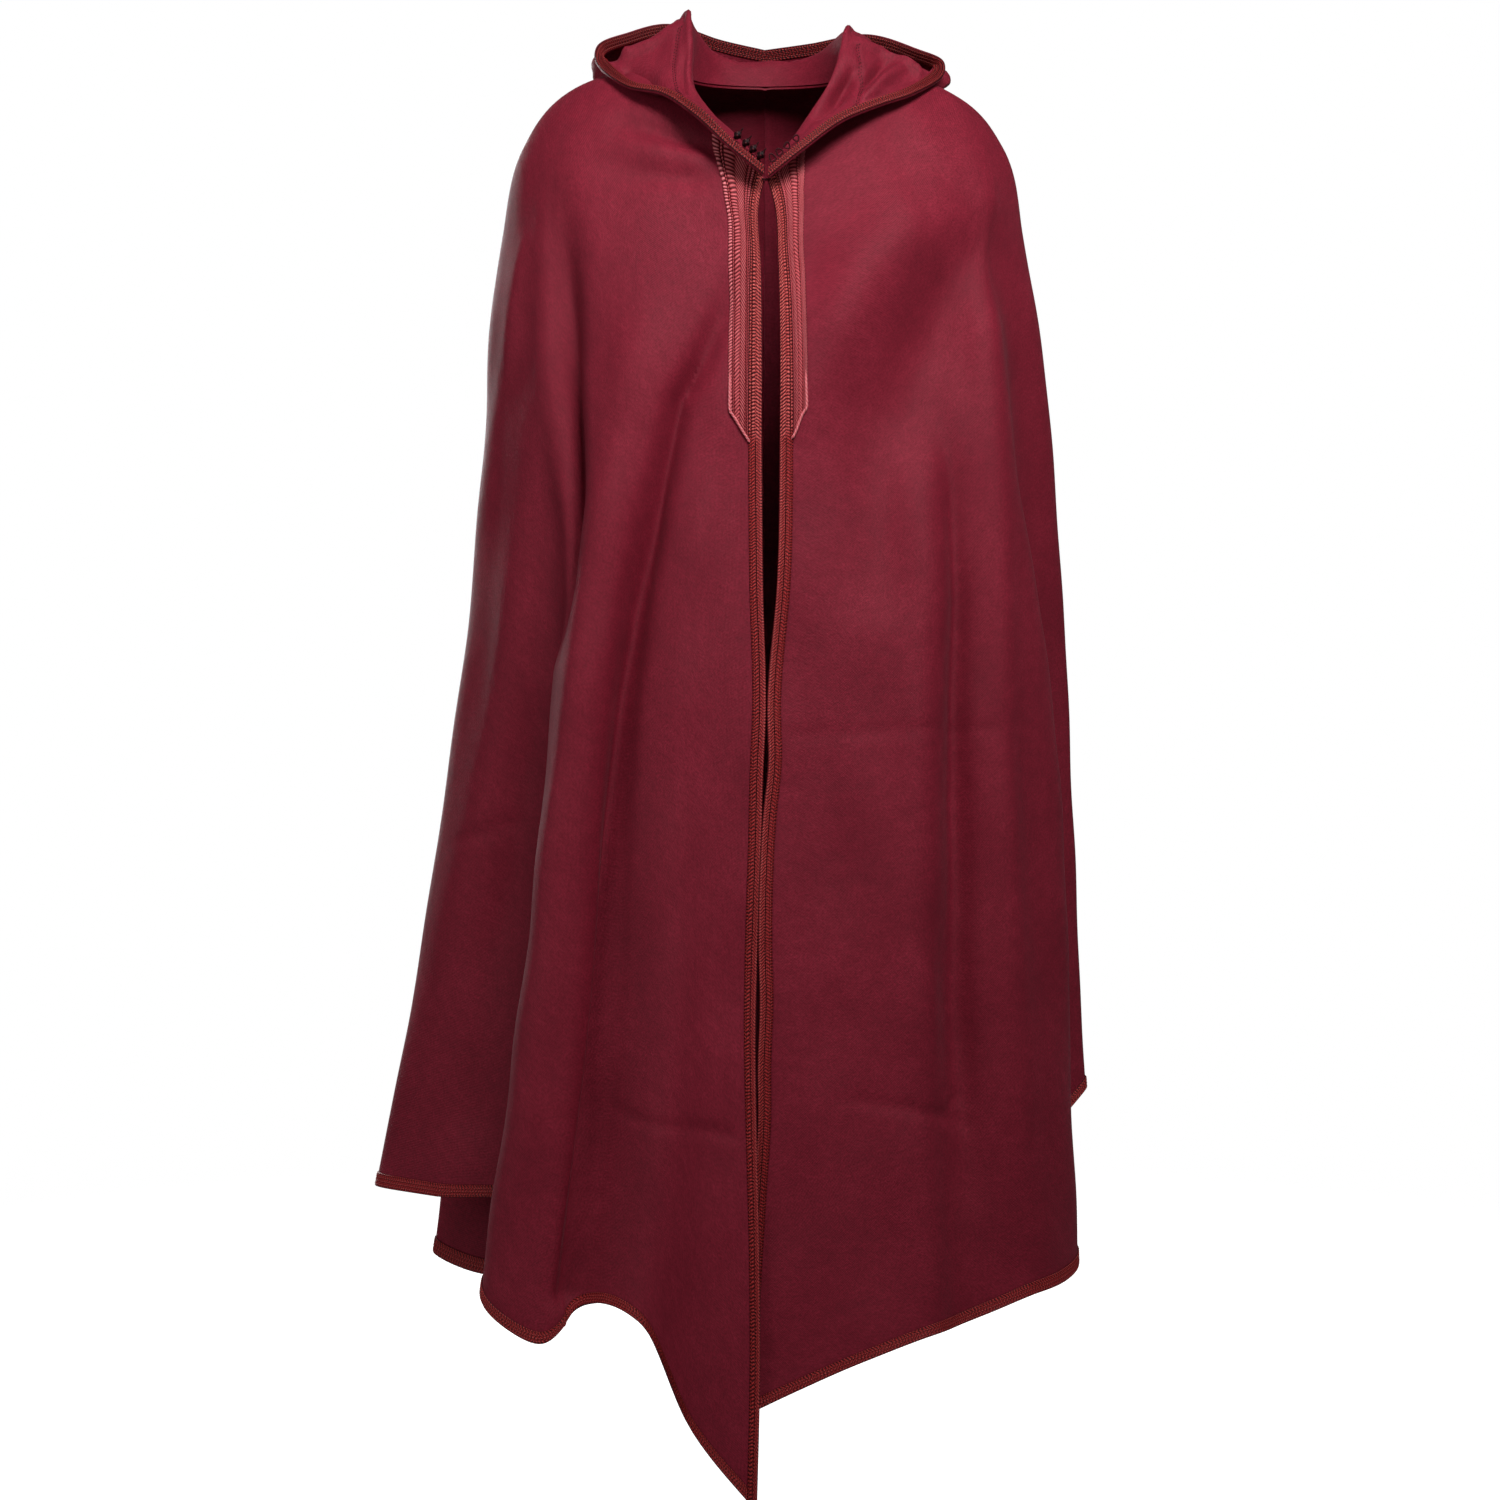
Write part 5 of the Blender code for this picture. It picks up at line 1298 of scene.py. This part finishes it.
def make_link():
    """The thread that ties the front edges at the neck: two plies twisted, with a knot at its
    middle and a thicker end on each edge."""
    low, high = (np.array(corner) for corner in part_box("neck_link"))
    place = np.linspace(-1.0, 1.0, LINK_RINGS)[:, None]
    path = (low + high) / 2 + np.hstack([place * (high[0] - low[0]) / 2,
                                         LINK_SWAY * np.cos(LINK_SWAYS * place),
                                         -LINK_SAG * (1 - place ** 2)])
    twist = np.cos(2 * circle(LINK_SIDES)[None] + LINK_TWISTS * place)
    size = LINK_CORD + sum(more * np.exp(-((np.abs(place) - middle) / length) ** 2)
                           for middle, more, length in LINK_KNOTS)
    # painted shade in the twist's troughs, lighter on its crowns
    thing = tube("twisted_neck_link", path, np.repeat([[0.0, -1.0, 0.0]], LINK_RINGS, axis=0),
                 size * (1 + LINK_PLY * twist), 0.5 + 0.5 * twist, DARK_CORD)
    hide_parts("neck_link")


def make_all():
    """Every piece of the cloak, its four pieces of wool cloth among them."""
    made = {}
    for side in (-1, 1):
        body = make_body(side)
        trims = [make_front_braid(side), make_panel(side), make_panel_cord(side)]
        surface = hood_worn(side)
        hood = make_hood(side, surface)
        made[side] = body, trims, hood, [make_hood_braid(side), make_hood_stitches(side, surface)]
    hem = make_hem_braid()
    seam = make_back_stitches()
    for number, bend in enumerate(KNOT_BENDS, start=1):
        make_knot("button_%d" % number, bend)
    for number, (way, stretch) in enumerate(LOOPS, start=1):
        make_loop("loop_%d" % number, way, stretch)
    make_link()
    body, trims, hood, hood_trims = made[-1]
    body, trims, hood, hood_trims = made[1]


make_all()


# ---------------------------------------------------------------- floor, light and camera

FLOOR_RADIUS, FLOOR_Z, FLOOR_SIDES = 9, -1.47, 64
FLOOR_FADE = (1.6, 2.6)      # the floor fades out between these distances from its middle
# name, place, aim, side of the square in m, power in W, spread in degrees
LAMPS = (("key", (0.52, -1.45, 1.35), (0.0, -0.1, -0.30), 0.8, 47, 180),
         ("chest", (0.14, -1.1, 0.9), (0.03, -0.15, -0.09), 0.4, 0.4, 46),
         ("left_side", (-2.1, -1.4, 0.2), (-0.2, 0.0, -0.6), 1.5, 18, 180),
         ("right_side", (2.2, -0.9, 0.1), (0.2, 0.0, -0.6), 1.6, 5, 180),
         ("back", (-1.3, 2.4, -0.1), (0.0, 0.0, -0.6), 1.5, 62, 180))
EYE, AIM = (-0.016, -3.2, -0.45), (-0.016, 0.0, -0.63)
SENSOR = 36                  # mm
FOCAL_SHARE = 3052 / 1500    # focal length as a share of the view's width


def make_floor():
    """A wide pale floor that fades into the background."""
    turns = circle(FLOOR_SIDES)
    corners = np.stack([FLOOR_RADIUS * np.cos(turns), FLOOR_RADIUS * np.sin(turns),
                        np.full(FLOOR_SIDES, FLOOR_Z)], axis=1)
    mesh = bpy.data.meshes.new("floor")
    mesh.from_pydata(corners.tolist(), [], [list(range(FLOOR_SIDES))])
    made, tree, shader, place = start_material("matt_paper", "Object")
    fill(tree, shader, {"Base Color": linear("f4f4f4"), "Roughness": 0.9,
                        "Emission Color": linear("ffffff"), "Emission Strength": 0.86})
    mesh.materials.append(made)
    put("floor", mesh)
    far = node(tree, "ShaderNodeVectorMath", {0: place}, operation="LENGTH").outputs["Value"]
    near, away = FLOOR_FADE
    fade = node(tree, "ShaderNodeMapRange", {"Value": far, "From Min": near, "From Max": away},
                interpolation_type="SMOOTHSTEP").outputs["Result"]
    clear = node(tree, "ShaderNodeBsdfTransparent")
    dim = node(tree, "ShaderNodeBsdfDiffuse", {"Color": linear("7a7a7a")})
    mixed = mix_shaders(tree, fade, shader, clear)
    both = mix_shaders(tree, seen_by_camera(tree), dim, mixed)
    tree.links.new(both.outputs[0], tree.nodes["Material Output"].inputs["Surface"])


def mix_shaders(tree, share, first, second):
    """Mix two shaders by a share."""
    return node(tree, "ShaderNodeMixShader", {0: share, 1: first.outputs[0], 2: second.outputs[0]})


def seen_by_camera(tree):
    """1 where the camera looks straight at a surface, 0 where it only lights others."""
    return node(tree, "ShaderNodeLightPath").outputs["Is Camera Ray"]


def make_surround():
    """A white surround that gives only a little light."""
    world = bpy.data.worlds.new("pale_studio")
    bpy.context.scene.world = world
    world.use_nodes = True
    tree = world.node_tree
    tree.nodes.clear()
    glow, white = (node(tree, "ShaderNodeBackground", {"Color": colour, "Strength": strength})
                   for colour, strength in (((0.98, 0.98, 1.0, 1.0), 0.07),
                                            ((1.0, 1.0, 1.0, 1.0), 1.0)))
    both = mix_shaders(tree, seen_by_camera(tree), glow, white)
    node(tree, "ShaderNodeOutputWorld", {"Surface": both.outputs[0]})


def aim(thing, place, target):
    """Put a lamp or camera at a place, looking at a target."""
    thing.location = place
    thing.rotation_euler = (Vector(target) - Vector(place)).to_track_quat("-Z", "Y").to_euler()


def make_lamps():
    """Square soft lamps in front, at both sides and behind."""
    for name, place, target, size, power, spread in LAMPS:
        light = bpy.data.lights.new(name, "AREA")
        light.shape = "SQUARE"
        light.size = size
        light.energy = power
        light.spread = np.radians(spread)
        aim(put(name, light), place, target)


def make_camera():
    """The camera: at the height of the chest, 3.2 m away, looking a little down."""
    lens = bpy.data.cameras.new("camera")
    lens.sensor_width = SENSOR
    lens.lens = SENSOR * FOCAL_SHARE
    camera = put("camera", lens)
    aim(camera, EYE, AIM)
    bpy.context.scene.camera = camera


make_floor()
make_surround()
make_lamps()
make_camera()
bpy.context.scene.view_settings.view_transform = "Standard"
